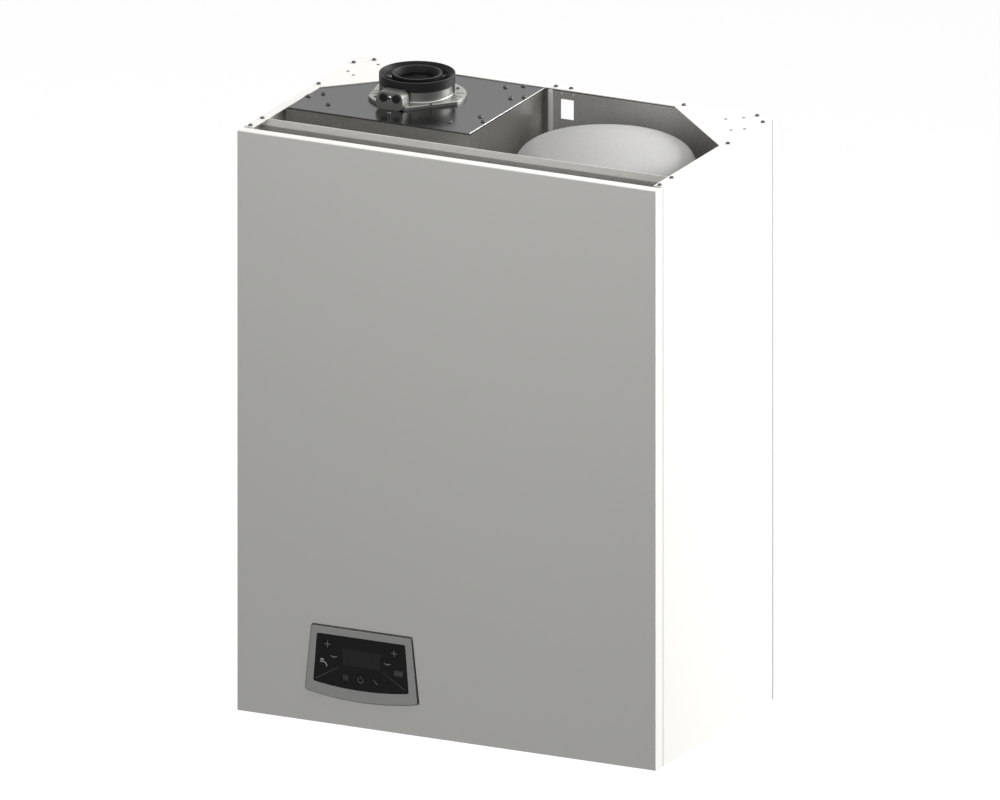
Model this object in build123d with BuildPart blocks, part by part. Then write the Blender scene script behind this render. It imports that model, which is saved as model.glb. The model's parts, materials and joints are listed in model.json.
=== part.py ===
from build123d import *
import os

# A wall-hung combi boiler with its own hot water tank.
# Millimetres. X runs to the right, Y towards the wall, Z up. The origin lies on the wall,
# mid width, level with the casing's bottom edge. "out" is a distance from the wall.

# ---- Casing -------------------------------------------------------------------------
casing_width = 690.0
casing_height = 900.0
casing_depth = 410.0
sheet = 1.2
flange = 15.0
cover_side_depth = 24.0
cover_fold = 17.5
cover_gap = 0.5
bend = 1.5
frame_depth = 16.3
frame_groove = 1.0
hem_width = 10.5
rear_wall_out = 13.0
top_rail_setback = 51.5
top_rail_height = 62.0
rail_shelf = 34.0
bottom_rail_height = 50.0
slack = 0.3

half_width = casing_width / 2
inner_half = half_width - sheet
flange_edge = half_width - flange
hem_edge = half_width - hem_width
top_face = casing_height - sheet
panel_front = casing_depth - cover_side_depth - cover_gap
top_rail_out = panel_front - top_rail_setback

# ---- Sealed chamber: the left wall keeps clear of the side panel ----------------------
chamber_side_gap = 9.8
chamber_right = -30.0
chamber_setback = 64.0
chamber_above_shelf = 42.5
foam_bottom = 317.5
chamber_sheet = 1.0
chamber_lip = 12.0
chamber_flange = 11.5
chamber_bend = 5.0
sight_glass_radius = 14.0

chamber_left = chamber_side_gap - inner_half
chamber_half = (chamber_right - chamber_left) / 2
chamber_x = chamber_right - chamber_half
chamber_front = top_rail_out - chamber_setback
chamber_bottom = foam_bottom + chamber_above_shelf

# ---- Flue adapter: placed from the chamber's front and the casing's top ---------------
flue_setback = 134.0
adapter_radius = 73.5
adapter_flange = 5.2
neck_radius = 52.5
neck_bore = 50.0
neck_rise = 30.0
ring_radius = 56.8
ring_bore = 50.35
ring_overlap = 7.5
ring_rise = 6.0
inner_tube_radius = 32.0
inner_tube_bore = 30.5
inner_gasket_radius = 37.5
inner_gasket_bore = 30.05
inner_gasket_height = 18.0
inner_gasket_lip = 8.0
spoke_width = 5.0
spoke_height = 8.0
adapter_fixing_inset = 9.5
adapter_flats = ((-42.0, 11.0), (192.0, 6.0))
adapter_corner = 7.0
adapter_edge = 1.5
test_box_half_top = 19.4
test_box_foot_left = 26.0
test_box_foot_right = 22.0
test_box_neck_half = 17.0
test_box_round = 8.8
test_box_depth = 22.0
test_box_reach = 80.0
test_box_shift = 6.0
test_pitch = 20.7
test_plug_radius = 5.2
test_plug_bore = 5.25
test_plug_length = 12.0
test_plug_rise = 17.0

flue_out = chamber_front - flue_setback
adapter_top = top_face + adapter_flange
fixing_circle = adapter_radius - adapter_fixing_inset
neck_top = casing_height + neck_rise
ring_bottom = neck_top - ring_overlap
ring_top = neck_top + ring_rise
test_box_front = flue_out + test_box_reach
test_box_x = chamber_x - test_box_shift
test_plug_z = casing_height + test_plug_rise
test_box_top = test_plug_z + test_box_round

# ---- Corner plates of the side panels: their slanting edge clears the flue adapter ----
gusset_past_flue = 14.0
gusset_leg = flue_out + gusset_past_flue
gusset_hole_radius = 3.2
gusset_hole_insets = ((18.0, 73.0), (33.5, 87.0), (43.5, 24.0), (64.5, 41.0))
gusset_holes = [(half_width - inset, out) for inset, out in gusset_hole_insets]

# ---- Hanging window in the rear wall ------------------------------------------------
window_width = 21.0
window_height = 30.5
window_x = 5.5
window_drop = 31.0
pilot_radius = 2.5
pilot_pitch = 19.0
pilot_drop = 7.0

window_z = casing_height - window_drop
pilot_z = casing_height - pilot_drop

# ---- Screws: places measured from the edges they hold --------------------------------
screw_head_radius = 3.4
screw_head = 2.4
screw_shank_radius = 1.9
screw_length = 8.0
screw_hole = screw_shank_radius + 0.1
side_screw_inset = 7.5
rear_side_screw = 32.0
middle_side_screw = 150.0
front_side_screw = 45.5
last_side_screw = 5.5
rear_screw_out = 7.0
corner_screw_inset = 29.0
rear_screw_inset = 150.0
window_screw_left = 21.5
window_screw_right = 3.5
plate_screw_insets = ((8.0, 65.0), (22.5, 85.0), (52.0, 41.0))
plate_corner_shift = 11.3

side_screw_x = half_width - side_screw_inset
side_screw_outs = (rear_side_screw, middle_side_screw,
                   panel_front - front_side_screw, panel_front - last_side_screw)
rear_screw_xs = (corner_screw_inset - half_width, window_x - window_screw_left,
                 window_x + window_screw_right, half_width - rear_screw_inset,
                 half_width - corner_screw_inset)
plate_screws = [(chamber_half - inset, chamber_front - back) for inset, back in plate_screw_insets]

# ---- Fan, mixer and gas valve: hung from the chamber's front and its right wall -------
fan_rise = 120.0
fan_radius = 58.0
fan_depth = 45.0
fan_setback = 25.0
fan_wall = 2.0
fan_outlet = 48.0
fan_outlet_rise = 66.0
impeller_radius = 46.0
impeller_hub = 12.0
impeller_blades = 10
blade_length = 30.0
blade_sheet = 2.0
fan_shaft = 3.0
shaft_clearance = 0.05
motor_radius = 32.0
motor_depth = 20.0
mixer_radius = 26.0
mixer_depth = 30.0
mixer_wall = 5.0
mixer_inlet = 52.0
mixer_inlet_radius = 11.0
mixer_inlet_back = 15.0
duct_wall = 2.5
gas_valve_gap = 15.5
gas_valve_width = 65.0
gas_valve_rise = 25.0
gas_valve_height = 70.0
gas_valve_depth = 95.0
gas_valve_setback = 65.0
gas_inlet_back = 27.0
gas_port_radius = 14.0
gas_port_length = 18.0

fan_z = chamber_bottom + fan_rise
fan_front = chamber_front - fan_setback
fan_back = fan_front - fan_depth
fan_outlet_top = fan_z + fan_outlet_rise
gas_valve_x = chamber_right - gas_valve_gap - gas_valve_width / 2
gas_valve_bottom = chamber_bottom + gas_valve_rise
gas_valve_top = gas_valve_bottom + gas_valve_height
gas_valve_front = chamber_front - gas_valve_setback
gas_valve_back = gas_valve_front - gas_valve_depth
gas_inlet_out = gas_valve_front - gas_inlet_back
mixer_gas_out = fan_back - mixer_inlet_back

# ---- Heat exchanger and burner ------------------------------------------------------
shell_rise = 160.0
shell_radius = 108.0
shell_wall = 2.0
shell_setback = 98.0
shell_ring_radius = 116.0
shell_ring = 4.0
coil_inner = 80.0
coil_outer = 98.0
coil_tube = 13.0
coil_gap = 5.0
coil_bar = 3.5
door_plate = 12.0
door_round = 2.0
burner_radius = 35.0
burner_clearance = 32.0
burner_flange = 9.0
electrode_radius = 4.0
electrode_collar = 3.0
electrode_wire = 1.2
electrode_spread = 34.0
electrode_inside = 18.0
electrode_outside = 12.0
electrode_tip = 40.0
electrode_plug = 20.0
spigot_radius = 14.0
spigot_wall = 4.0
spigot_drop = 120.0
heating_setback = 22.0
return_gap = 21.5
drain_step = 48.0
drain_out = 60.0
collector_width = 70.0
collector_rise = 132.0
duct_rise = 28.0
duct_bore = 20.0

shell_z = fan_z + shell_rise
shell_back = rear_wall_out + chamber_sheet
shell_front = chamber_front - shell_setback
coil_turns = int((shell_front - shell_back - shell_wall) // (coil_tube + coil_gap))
spigot_end = shell_z - spigot_drop
flow_x = chamber_x
return_x = gas_valve_x - gas_valve_width / 2 - return_gap
drain_x = chamber_x - drain_step
heating_out = shell_front - heating_setback
collector_top = shell_z + collector_rise
duct_top = shell_z + duct_rise

# ---- Hot water tank: fills the depth between the rear wall and the top rail -----------
tank_beside = 180.0
foam_back_gap = 30.0
foam_front_gap = 17.0
foam_drop = 7.0
foam_rise = 22.0
foam_shoulder = 39.0
foam_wall = 22.0
vessel_wall = 2.0
tank_gap = 0.3
tank_end_rise = 30.0
tank_flange_radius = 68.0
tank_flange_plate = 6.0
tank_neck_wall = 14.0
anode_radius = 11.0
anode_length = 320.0
tank_stem = 28.0
hot_step = 32.0
cold_step = 30.0
shelf_overhang = 5.0
shelf_margin = 1.0
shelf_lip = 15.0
shelf_ledge = 8.0

foam_back = rear_wall_out + foam_back_gap
foam_front = top_rail_out - foam_front_gap
foam_radius = (foam_front - foam_back) / 2
tank_x = chamber_right + tank_beside
tank_out = foam_back + foam_radius
foam_apex = casing_height - foam_drop
shelf_left = tank_x - foam_radius - shelf_overhang
shelf_front = foam_front + shelf_margin

# ---- Pipes under the chamber and the tank -------------------------------------------
tail_bottom = -45.0
tail_setback = 20.0
tail_pitch = 66.0
tail_radius = 9.0
pipe_wall = 1.0
heating_radius = 11.0
pipe_bend = 26.0
gas_bend = 14.0
hole_margin = 4.0
nut_radius = 15.0
nut_height = 14.0
tail_end = 20.0
gas_pipe_level = 215.0
cold_pipe_level = 240.0
hot_pipe_level = 262.0
return_pipe_level = 290.0

tail_out = heating_out - tail_setback

# ---- Hydraulics ---------------------------------------------------------------------
block_behind_tails = 65.0
block_before_tails = 40.0
block_bottom = 60.0
block_top = 108.0
block_round = 4.0
block_gap_half = 106.0
block_well = 20.0
return_block_right = 200.0
exchanger_plates = 16
exchanger_wall_gap = 7.0
exchanger_behind_tails = 32.0
exchanger_inset = 6.0
exchanger_edge = 5.0
exchanger_groove = 4.0
diverter_radius = 18.0
diverter_height = 57.0
diverter_neck = 15.0
actuator_size = 40.0
actuator_height = 60.0
spindle_radius = 4.0
spindle_clearance = 0.06
spindle_stroke = 6.0
spindle_disc = 10.0
spindle_disc_height = 6.0
spindle_lift = 10.0
spindle_length = 67.0
pump_z = 150.0
pump_radius = 42.0
pump_wall = 6.0
pump_behind_tails = 40.0
pump_depth = 50.0
pump_motor_depth = 85.0
pump_port_radius = 16.0
pump_port_rise = 42.0
rotor_shaft = 4.0
rotor_can = 19.0
rotor_blade = 26.0
rotor_blade_depth = 20.0
can_depth = 45.0
can_wall = 4.0
can_clearance = 1.0
bearing_depth = 6.0
motor_round = 5.0
vessel_side_gap = 9.0
vessel_top_gap = 15.0
vessel_radius = 110.0
vessel_front_gap = 5.0
vessel_seam = 3.0
vessel_round = 24.0
vessel_tail_radius = 5.0
vessel_tail_setback = 55.0
valve_x = 175.0
valve_z = 84.0
valve_radius = 12.0
valve_length = 28.0
knob_radius = 15.0
knob_length = 18.0
knob_groove = 4.0
trap_inset = 44.0
trap_out = 180.0
trap_radius = 22.0
trap_top = 190.0
trap_bottom = 40.0
trap_hose = 8.0
trap_hose_wall = 2.0
trap_bend = 18.0
trap_outlet = 10.0
trap_outlet_bottom = -30.0
trap_bead = 0.8
trap_round = 5.0
bead_z = -4.5
drain_elbow_drop = 52.0
drain_fall = 28.0
gland_inset = 34.0
gland_out = 60.0
gland_radius = 11.0
cord_radius = 4.0

block_back = tail_out - block_behind_tails
block_front = tail_out + block_before_tails
exchanger_back = rear_wall_out + exchanger_wall_gap
exchanger_front = tail_out - exchanger_behind_tails
pump_back = tail_out - pump_behind_tails
pump_front = pump_back + pump_depth
pump_motor_front = pump_front + pump_motor_depth
pump_out = pump_back + pump_depth / 2
pump_outlet_z = pump_z + pump_port_rise
diverter_top = block_top + diverter_height
spindle_bottom = block_top + spindle_lift
spindle_top = spindle_bottom + spindle_length
vessel_x = chamber_left + vessel_side_gap + vessel_radius
vessel_z = chamber_bottom - vessel_top_gap - vessel_radius
vessel_depth = tail_out - actuator_size / 2 - vessel_front_gap - rear_wall_out
vessel_tail_out = tail_out - vessel_tail_setback
flow_block_left = vessel_x - 2 * vessel_tail_radius
trap_x = chamber_left + trap_inset
gland_x = chamber_left + gland_inset

# ---- Control panel: placed from the casing's left edge and its front ------------------
panel_inset = 205.6
bezel_top_half = 82.1
bezel_bottom_half = 92.5
bezel_top_z = 150.3
bezel_bottom_z = 50.0
bezel_arc_z = 40.8
bezel_proud = 2.5
bezel_corner = 2.5
bezel_round = 1.2
fascia_top_half = 72.7
fascia_bottom_half = 78.7
fascia_top_z = 139.5
fascia_bottom_z = 64.5
fascia_arc_z = 58.2
fascia_corner = 3.0
fascia_recess = 1.0
fascia_plate = 3.0
fascia_rim = 2.0
fascia_fit = 0.15
opening_gap = 1.4
box_left_half = 98.6
box_right_half = 97.4
box_top = 162.0
box_depth = 67.0
box_behind_cover = 8.0
box_wall = 2.0
board_margin = 10.0
board_stand = 8.0
board_thickness = 1.6
board_post_inset = 24.0
board_post_radius = 3.0
relay_width = 16.0
relay_pitch = 26.0
relay_height = 18.0
relay_depth = 17.0
coil_block_size = 36.0
coil_block_height = 30.0
coil_block_depth = 33.0
display_width = 63.0
display_height = 26.0
display_z = 107.0
display_recess = 0.4
key_radius = 7.0
key_clearance = 0.3
key_travel = 1.0
key_stem = 3.0
key_offsets = {
    "key_water_plus": (-55.8, 123.7),
    "key_water_minus": (-45.2, 106.5),
    "key_heat_plus": (54.1, 123.7),
    "key_heat_minus": (42.9, 106.5),
    "key_book": (-25.6, 75.5),
    "key_power": (-1.2, 75.5),
    "key_spanner": (23.1, 75.5),
}

panel_x = panel_inset - half_width
bezel_front = casing_depth + bezel_proud
fascia_front = bezel_front - fascia_recess
box_front = casing_depth - box_behind_cover
box_back = box_front - box_depth
box_left = panel_x - box_left_half
box_right = panel_x + box_right_half
key_spots = {name: (panel_x + x, z) for name, (x, z) in key_offsets.items()}

os.makedirs("parts", exist_ok=True)


def finish(piece, name):
    """Labels a finished piece and writes its file."""
    piece.part.label = name
    export_step(piece.part, f"parts/{name}.step")


def slab(x_limits, out_limits, z_limits, mode=Mode.ADD):
    """A box between two x values, two distances from the wall and two heights."""
    size_x = x_limits[1] - x_limits[0]
    size_y = out_limits[1] - out_limits[0]
    size_z = z_limits[1] - z_limits[0]
    with Locations((sum(x_limits) / 2, -sum(out_limits) / 2, sum(z_limits) / 2)):
        Box(size_x, size_y, size_z, mode=mode)


def post(x, out, z_limits, radius, mode=Mode.ADD):
    """An upright cylinder between two heights."""
    with Locations((x, -out, sum(z_limits) / 2)):
        Cylinder(radius, z_limits[1] - z_limits[0], mode=mode)


def barrel(x, z, out_limits, radius, mode=Mode.ADD):
    """A cylinder that lies square to the wall, between two distances from it."""
    with Locations((x, -sum(out_limits) / 2, z)):
        Cylinder(radius, out_limits[1] - out_limits[0], rotation=(90, 0, 0), mode=mode)


def bent_pipe(points, radius, bend_radius, wall=pipe_wall):
    """A pipe through the points, each corner an arc of one radius."""
    with BuildPart() as pipe:
        with BuildLine() as route:
            FilletPolyline(*points, radius=bend_radius)
        with BuildSketch(Plane(origin=route.line @ 0, z_dir=route.line % 0)):
            Circle(radius)
            Circle(radius - wall, mode=Mode.SUBTRACT)
        sweep()
    return pipe.part


# ---- Rear frame: white channel round the back, whose lip rests on the wall ----------
with BuildPart() as rear_frame:
    with BuildSketch(Plane.XZ):
        with Locations((0, casing_height / 2)):
            Rectangle(casing_width, casing_height)
            Rectangle(2 * inner_half, casing_height - 2 * sheet, mode=Mode.SUBTRACT)
    extrude(amount=frame_depth - frame_groove)
    with BuildSketch(Plane.XZ):
        with Locations((0, casing_height / 2)):
            Rectangle(2 * inner_half, casing_height - 2 * sheet)
            Rectangle(2 * flange_edge, casing_height - 2 * flange, mode=Mode.SUBTRACT)
    extrude(amount=sheet)
    for side in (-1, 1):
        hem = sorted((side * hem_edge, side * (half_width - frame_groove)))
        slab(hem, (rear_wall_out, frame_depth), (sheet, top_face))
    slab((-half_width, half_width), (rear_wall_out, frame_depth), (top_face, casing_height))
    with Locations(*[(x, -rear_screw_out, top_face) for x in rear_screw_xs]):
        Cylinder(screw_hole, 3 * sheet, mode=Mode.SUBTRACT)
finish(rear_frame, "rear_frame")


# ---- Rear wall: galvanised sheet behind the hems, with the hanging window -----------
with BuildPart() as rear_wall:
    with BuildSketch(Plane.XZ.offset(rear_wall_out - sheet)):
        with Locations((0, casing_height / 2)):
            Rectangle(2 * (inner_half - slack), casing_height - 2 * (sheet + slack))
        with Locations((window_x, window_z)):
            Rectangle(window_width, window_height, mode=Mode.SUBTRACT)
        with Locations((window_x - pilot_pitch / 2, pilot_z), (window_x + pilot_pitch / 2, pilot_z)):
            Circle(pilot_radius, mode=Mode.SUBTRACT)
    extrude(amount=sheet)
finish(rear_wall, "rear_wall")


# ---- Side panels: white sheet with front, rear, bottom and top flanges --------------
# The top flange widens at the back into a corner plate with a 45 degree edge.
def side_panel(side):
    with BuildPart() as panel:
        slab((inner_half, half_width), (frame_depth, panel_front), (0, casing_height))
        slab((flange_edge, inner_half), (panel_front - sheet, panel_front), (0, casing_height))
        slab((hem_edge, inner_half), (frame_depth, frame_depth + sheet), (0, casing_height))
        slab((flange_edge, inner_half), (frame_depth, panel_front), (0, sheet))
        corner_start = rear_wall_out + gusset_leg
        corner_end_x = flange_edge - (corner_start - frame_depth)
        with BuildSketch(Plane.XY.offset(top_face)):
            with BuildLine():
                Polyline(
                    (half_width, -panel_front),
                    (half_width, -frame_depth),
                    (corner_end_x, -frame_depth),
                    (flange_edge, -corner_start),
                    (flange_edge, -panel_front),
                    (half_width, -panel_front),
                )
            make_face()
            with Locations(*[(side_screw_x, -out) for out in side_screw_outs]):
                Circle(screw_hole, mode=Mode.SUBTRACT)
            with Locations(*[(x, -out) for x, out in gusset_holes]):
                Circle(gusset_hole_radius, mode=Mode.SUBTRACT)
        extrude(amount=sheet)
        if side < 0:
            mirror(about=Plane.YZ, mode=Mode.REPLACE)
    return panel


right_side_panel = side_panel(1)
finish(right_side_panel, "right_side_panel")
left_side_panel = side_panel(-1)
finish(left_side_panel, "left_side_panel")


# ---- Top rail and bottom rail: folded sheet between the side panels -----------------
with BuildPart() as front_top_rail:
    rail_bottom = top_face - top_rail_height
    slab((-inner_half, inner_half), (top_rail_out - sheet, top_rail_out), (rail_bottom, top_face))
    slab((-inner_half, inner_half), (top_rail_out - flange, top_rail_out),
         (rail_bottom, rail_bottom + sheet))
finish(front_top_rail, "front_top_rail")

with BuildPart() as front_bottom_rail:
    rail_out = panel_front - sheet
    slab((-inner_half, inner_half), (rail_out - sheet, rail_out), (2 * sheet, bottom_rail_height))
    slab((-inner_half, inner_half), (rail_out - rail_shelf, rail_out),
         (bottom_rail_height - sheet, bottom_rail_height))
finish(front_bottom_rail, "front_bottom_rail")


# ---- Bottom plate: lies on the side panels' bottom flanges, pierced for the pipes ---
tail_xs = [tail_pitch * step for step in (-2, -1, 0, 1, 2)]
with BuildPart() as bottom_plate:
    slab((-inner_half, inner_half), (frame_depth + sheet, panel_front - sheet), (sheet, 2 * sheet))
    with Locations(*[(x, -tail_out, 2 * sheet) for x in tail_xs]):
        Cylinder(tail_radius + hole_margin, 4 * sheet, mode=Mode.SUBTRACT)
    with Locations((trap_x, -trap_out, 2 * sheet), (gland_x, -gland_out, 2 * sheet)):
        Cylinder(gland_radius, 4 * sheet, mode=Mode.SUBTRACT)
finish(bottom_plate, "bottom_plate")

with BuildPart() as cable_gland:
    post(gland_x, gland_out, (2 * sheet, 14 * sheet), gland_radius + 3)
    post(gland_x, gland_out, (-8 * sheet, 2 * sheet), gland_radius - 0.2)
    post(gland_x, gland_out, (-9 * sheet, 15 * sheet), cord_radius, mode=Mode.SUBTRACT)
finish(cable_gland, "cable_gland")


# ---- Panel outlines: trapezoids with an arched lower edge ---------------------------
def panel_outline(top_half, bottom_half, top_z, bottom_z, arc_z, corner):
    with BuildSketch() as outline:
        with BuildLine():
            Polyline(
                (panel_x - bottom_half, bottom_z),
                (panel_x - top_half, top_z),
                (panel_x + top_half, top_z),
                (panel_x + bottom_half, bottom_z),
            )
            ThreePointArc(
                (panel_x + bottom_half, bottom_z),
                (panel_x, arc_z),
                (panel_x - bottom_half, bottom_z),
            )
        make_face()
        fillet(outline.vertices(), corner)
    return outline.sketch


bezel_outline = panel_outline(bezel_top_half, bezel_bottom_half, bezel_top_z,
                              bezel_bottom_z, bezel_arc_z, bezel_corner)
fascia_outline = panel_outline(fascia_top_half, fascia_bottom_half, fascia_top_z,
                               fascia_bottom_z, fascia_arc_z, fascia_corner)


# ---- Front cover: white pan with side returns, top and bottom folds -----------------
with BuildPart() as front_cover:
    cover_back = casing_depth - cover_side_depth
    slab((-half_width, half_width), (cover_back, casing_depth), (0, casing_height))
    front_edges = front_cover.faces().sort_by(Axis.Y)[0].edges()
    fillet(front_edges, bend)
    slab((-inner_half, inner_half), (cover_back - 1, casing_depth - sheet),
         (sheet, casing_height - sheet), mode=Mode.SUBTRACT)
    fold_back = casing_depth - cover_fold
    slab((-inner_half, inner_half), (cover_back - 1, fold_back), (-1, casing_height + 1),
         mode=Mode.SUBTRACT)
    with BuildSketch(Plane.XZ.offset(casing_depth - 2 * sheet)):
        add(bezel_outline)
        offset(amount=opening_gap, kind=Kind.INTERSECTION)
    extrude(amount=3 * sheet, mode=Mode.SUBTRACT)
finish(front_cover, "front_cover")


# ---- Pan-head screws: one pattern for the casing, the chamber and the adapter -------
screw_spots = []
for side in (-1, 1):
    screw_spots += [(side * side_screw_x, -out, casing_height) for out in side_screw_outs]
    screw_spots += [(chamber_x + side * x, -out, top_face) for x, out in plate_screws]
screw_spots += [(x, -rear_screw_out, casing_height) for x in rear_screw_xs]
screw_spots += [(chamber_x, -plate_screws[2][1], top_face)]
corner_spots = [(chamber_half + plate_corner_shift - inset, out) for inset, out in gusset_hole_insets]
screw_spots += [(chamber_x + x, -out, top_face) for x, out in corner_spots]

with BuildPart() as one_screw:
    Cylinder(screw_head_radius, screw_head, align=(Align.CENTER, Align.CENTER, Align.MIN))
    fillet(one_screw.edges().sort_by(Axis.Z)[-1], screw_head * 0.6)
    Cylinder(screw_shank_radius, screw_length, align=(Align.CENTER, Align.CENTER, Align.MAX))

with BuildPart() as casing_screws:
    with Locations(*screw_spots):
        add(one_screw.part)
    with Locations((chamber_x, -flue_out, adapter_top)):
        with PolarLocations(fixing_circle, 4, start_angle=45):
            add(one_screw.part)
finish(casing_screws, "casing_screws")


# ---- Chamber box: galvanised, open at the front, with an inward lip for the door ----
# It is riveted from a top plate, two sides, a back, a floor and a lip strip.
with BuildPart() as chamber_box:
    door_out = chamber_front - sheet
    slab((chamber_left, chamber_right), (rear_wall_out, door_out), (chamber_bottom, top_face))
    slab((chamber_left + chamber_sheet, chamber_right - chamber_sheet),
         (rear_wall_out + chamber_sheet, door_out - chamber_sheet),
         (chamber_bottom + chamber_sheet, top_face - chamber_sheet), mode=Mode.SUBTRACT)
    slab((chamber_left + chamber_lip, chamber_right - chamber_lip),
         (door_out - 2 * chamber_sheet, door_out + 1),
         (chamber_bottom + chamber_lip, top_face - chamber_lip), mode=Mode.SUBTRACT)
    slab((chamber_left, chamber_right), (door_out, chamber_front + sheet),
         (top_face - chamber_sheet, top_face))
    slab((chamber_right, chamber_right + chamber_flange),
         (rear_wall_out, rear_wall_out + chamber_bend + sheet), (chamber_bottom, top_face))
    bend_edge = (chamber_right + chamber_bend, -(rear_wall_out + sheet))
    slab((bend_edge[0], chamber_right + chamber_flange + 1),
         (rear_wall_out + sheet, rear_wall_out + chamber_bend + 2 * sheet),
         (chamber_bottom - 1, top_face + 1), mode=Mode.SUBTRACT)
    post(chamber_right + chamber_bend, rear_wall_out + chamber_bend + sheet,
         (chamber_bottom - 1, top_face + 1), chamber_bend, mode=Mode.SUBTRACT)
    post(chamber_x, flue_out, (top_face - 2 * sheet, top_face + 1), neck_bore, mode=Mode.SUBTRACT)
    top_holes = [(x, y) for x, y, z in screw_spots if z == top_face]
    with Locations(*[(x, y, top_face) for x, y in top_holes]):
        Cylinder(screw_hole, 4 * sheet, mode=Mode.SUBTRACT)
    with Locations(*[(-x, -out, top_face) for x, out in gusset_holes]):
        Cylinder(screw_hole, 4 * sheet, mode=Mode.SUBTRACT)
    with Locations((chamber_x, -flue_out, top_face)):
        with PolarLocations(fixing_circle, 4, start_angle=45):
            Cylinder(screw_hole, 4 * sheet, mode=Mode.SUBTRACT)
    floor_holes = [(flow_x, heating_out), (return_x, heating_out), (gas_valve_x, gas_inlet_out),
                   (trap_x, trap_out)]
    with Locations(*[(x, -out, chamber_bottom) for x, out in floor_holes]):
        Cylinder(heating_radius + hole_margin, 4 * sheet, mode=Mode.SUBTRACT)
    split(bisect_by=Plane.XY.offset(top_face - chamber_sheet), keep=Keep.BOTH)
    split(bisect_by=Plane.XY.offset(chamber_bottom + chamber_lip), keep=Keep.BOTH)
    split(bisect_by=Plane.YZ.offset(chamber_left + chamber_sheet), keep=Keep.BOTH)
    split(bisect_by=Plane.YZ.offset(chamber_right - chamber_sheet), keep=Keep.BOTH)
finish(chamber_box, "chamber_box")


# ---- Chamber door: galvanised plate with a pressed field and a sight glass hole -----
with BuildPart() as chamber_door:
    slab((chamber_left, chamber_right), (door_out, chamber_front),
         (chamber_bottom, top_face - chamber_sheet))
    slab((chamber_left + 3 * chamber_lip, chamber_right - 3 * chamber_lip),
         (chamber_front, chamber_front + sheet),
         (chamber_bottom + 3 * chamber_lip, top_face - 3 * chamber_lip))
    field_edges = chamber_door.faces().sort_by(Axis.Y)[0].edges()
    fillet(field_edges, sheet * 0.8)
    barrel(chamber_x, shell_z, (door_out - 1, chamber_front + 2 * sheet), sight_glass_radius,
           mode=Mode.SUBTRACT)
finish(chamber_door, "chamber_door")


# ---- Flue adapter: cast flange, neck and the housing of the two test points ---------
with BuildPart() as flue_adapter:
    with BuildSketch(Plane.XY.offset(top_face)) as flange_outline:
        with Locations((chamber_x, -flue_out)):
            Circle(adapter_radius)
            for turn, inset in adapter_flats:
                with PolarLocations(adapter_radius + neck_radius - inset, 1, start_angle=turn):
                    Rectangle(2 * neck_radius, 2 * neck_radius, mode=Mode.SUBTRACT)
        fillet(flange_outline.vertices(), adapter_corner)
    extrude(amount=adapter_flange)
    fillet(flue_adapter.edges().group_by(Axis.Z)[-1], adapter_edge)
    with BuildSketch(Plane.XZ.offset(test_box_front)):
        with Locations((test_box_x, test_box_top)):
            box_outline = Polygon(
                (-test_box_foot_left, top_face - test_box_top), (-test_box_half_top, 0),
                (test_box_half_top, 0), (test_box_foot_right, top_face - test_box_top),
                align=None,
            )
        fillet(box_outline.vertices().group_by(Axis.Z)[-1], test_box_round)
    extrude(amount=-test_box_depth)
    slab((test_box_x - test_box_neck_half, test_box_x + test_box_neck_half),
         (flue_out + neck_radius - 6, test_box_front - test_box_depth + 1),
         (adapter_top - 1, test_box_top - test_box_round))
    post(chamber_x, flue_out, (adapter_top - 1, neck_top), neck_radius)
    post(chamber_x, flue_out, (top_face - 1, neck_top + 1), neck_bore, mode=Mode.SUBTRACT)
    with Locations((chamber_x, -flue_out, (top_face + ring_bottom) / 2)):
        with PolarLocations((inner_tube_radius + neck_bore) / 2, 3, start_angle=30):
            Box(neck_bore - inner_tube_radius + 1, spoke_width, spoke_height)
    post(chamber_x, flue_out, (top_face - 1, neck_top + 1), inner_tube_radius + 0.1,
         mode=Mode.SUBTRACT)
    with Locations((chamber_x, -flue_out, adapter_top)):
        with PolarLocations(fixing_circle, 4, start_angle=45):
            Cylinder(screw_hole, 4 * adapter_flange, mode=Mode.SUBTRACT)
    for side in (-1, 1):
        barrel(test_box_x + side * test_pitch / 2, test_plug_z,
               (test_box_front - test_plug_length, test_box_front + 1), test_plug_bore,
               mode=Mode.SUBTRACT)
    split(bisect_by=Plane.XY.offset((top_face + ring_bottom + spoke_height) / 2), keep=Keep.BOTH)
finish(flue_adapter, "flue_adapter")

with BuildPart() as flue_ring_gasket:
    post(chamber_x, flue_out, (ring_bottom, ring_top), ring_radius)
    fillet(flue_ring_gasket.edges().filter_by(GeomType.CIRCLE), 1.2)
    post(chamber_x, flue_out, (ring_bottom - 1, neck_top), neck_radius + 0.05, mode=Mode.SUBTRACT)
    post(chamber_x, flue_out, (ring_bottom - 1, ring_top + 1), ring_bore, mode=Mode.SUBTRACT)
finish(flue_ring_gasket, "flue_ring_gasket")

inner_seat = ring_top - inner_gasket_height
with BuildPart() as flue_inner_tube:
    post(chamber_x, flue_out, (collector_top, ring_top - inner_gasket_lip), inner_tube_radius)
    post(chamber_x, flue_out, (collector_top - 1, ring_top), inner_tube_bore, mode=Mode.SUBTRACT)
finish(flue_inner_tube, "flue_inner_tube")

with BuildPart() as inner_gasket:
    post(chamber_x, flue_out, (inner_seat, ring_top), inner_gasket_radius)
    fillet(inner_gasket.edges().filter_by(GeomType.CIRCLE).sort_by(Axis.Z)[-1], 1.5)
    post(chamber_x, flue_out, (inner_seat - 1, ring_top - inner_gasket_lip), inner_tube_radius + 0.05,
         mode=Mode.SUBTRACT)
    post(chamber_x, flue_out, (inner_seat - 1, ring_top + 1), inner_gasket_bore,
         mode=Mode.SUBTRACT)
finish(inner_gasket, "inner_gasket")

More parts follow.
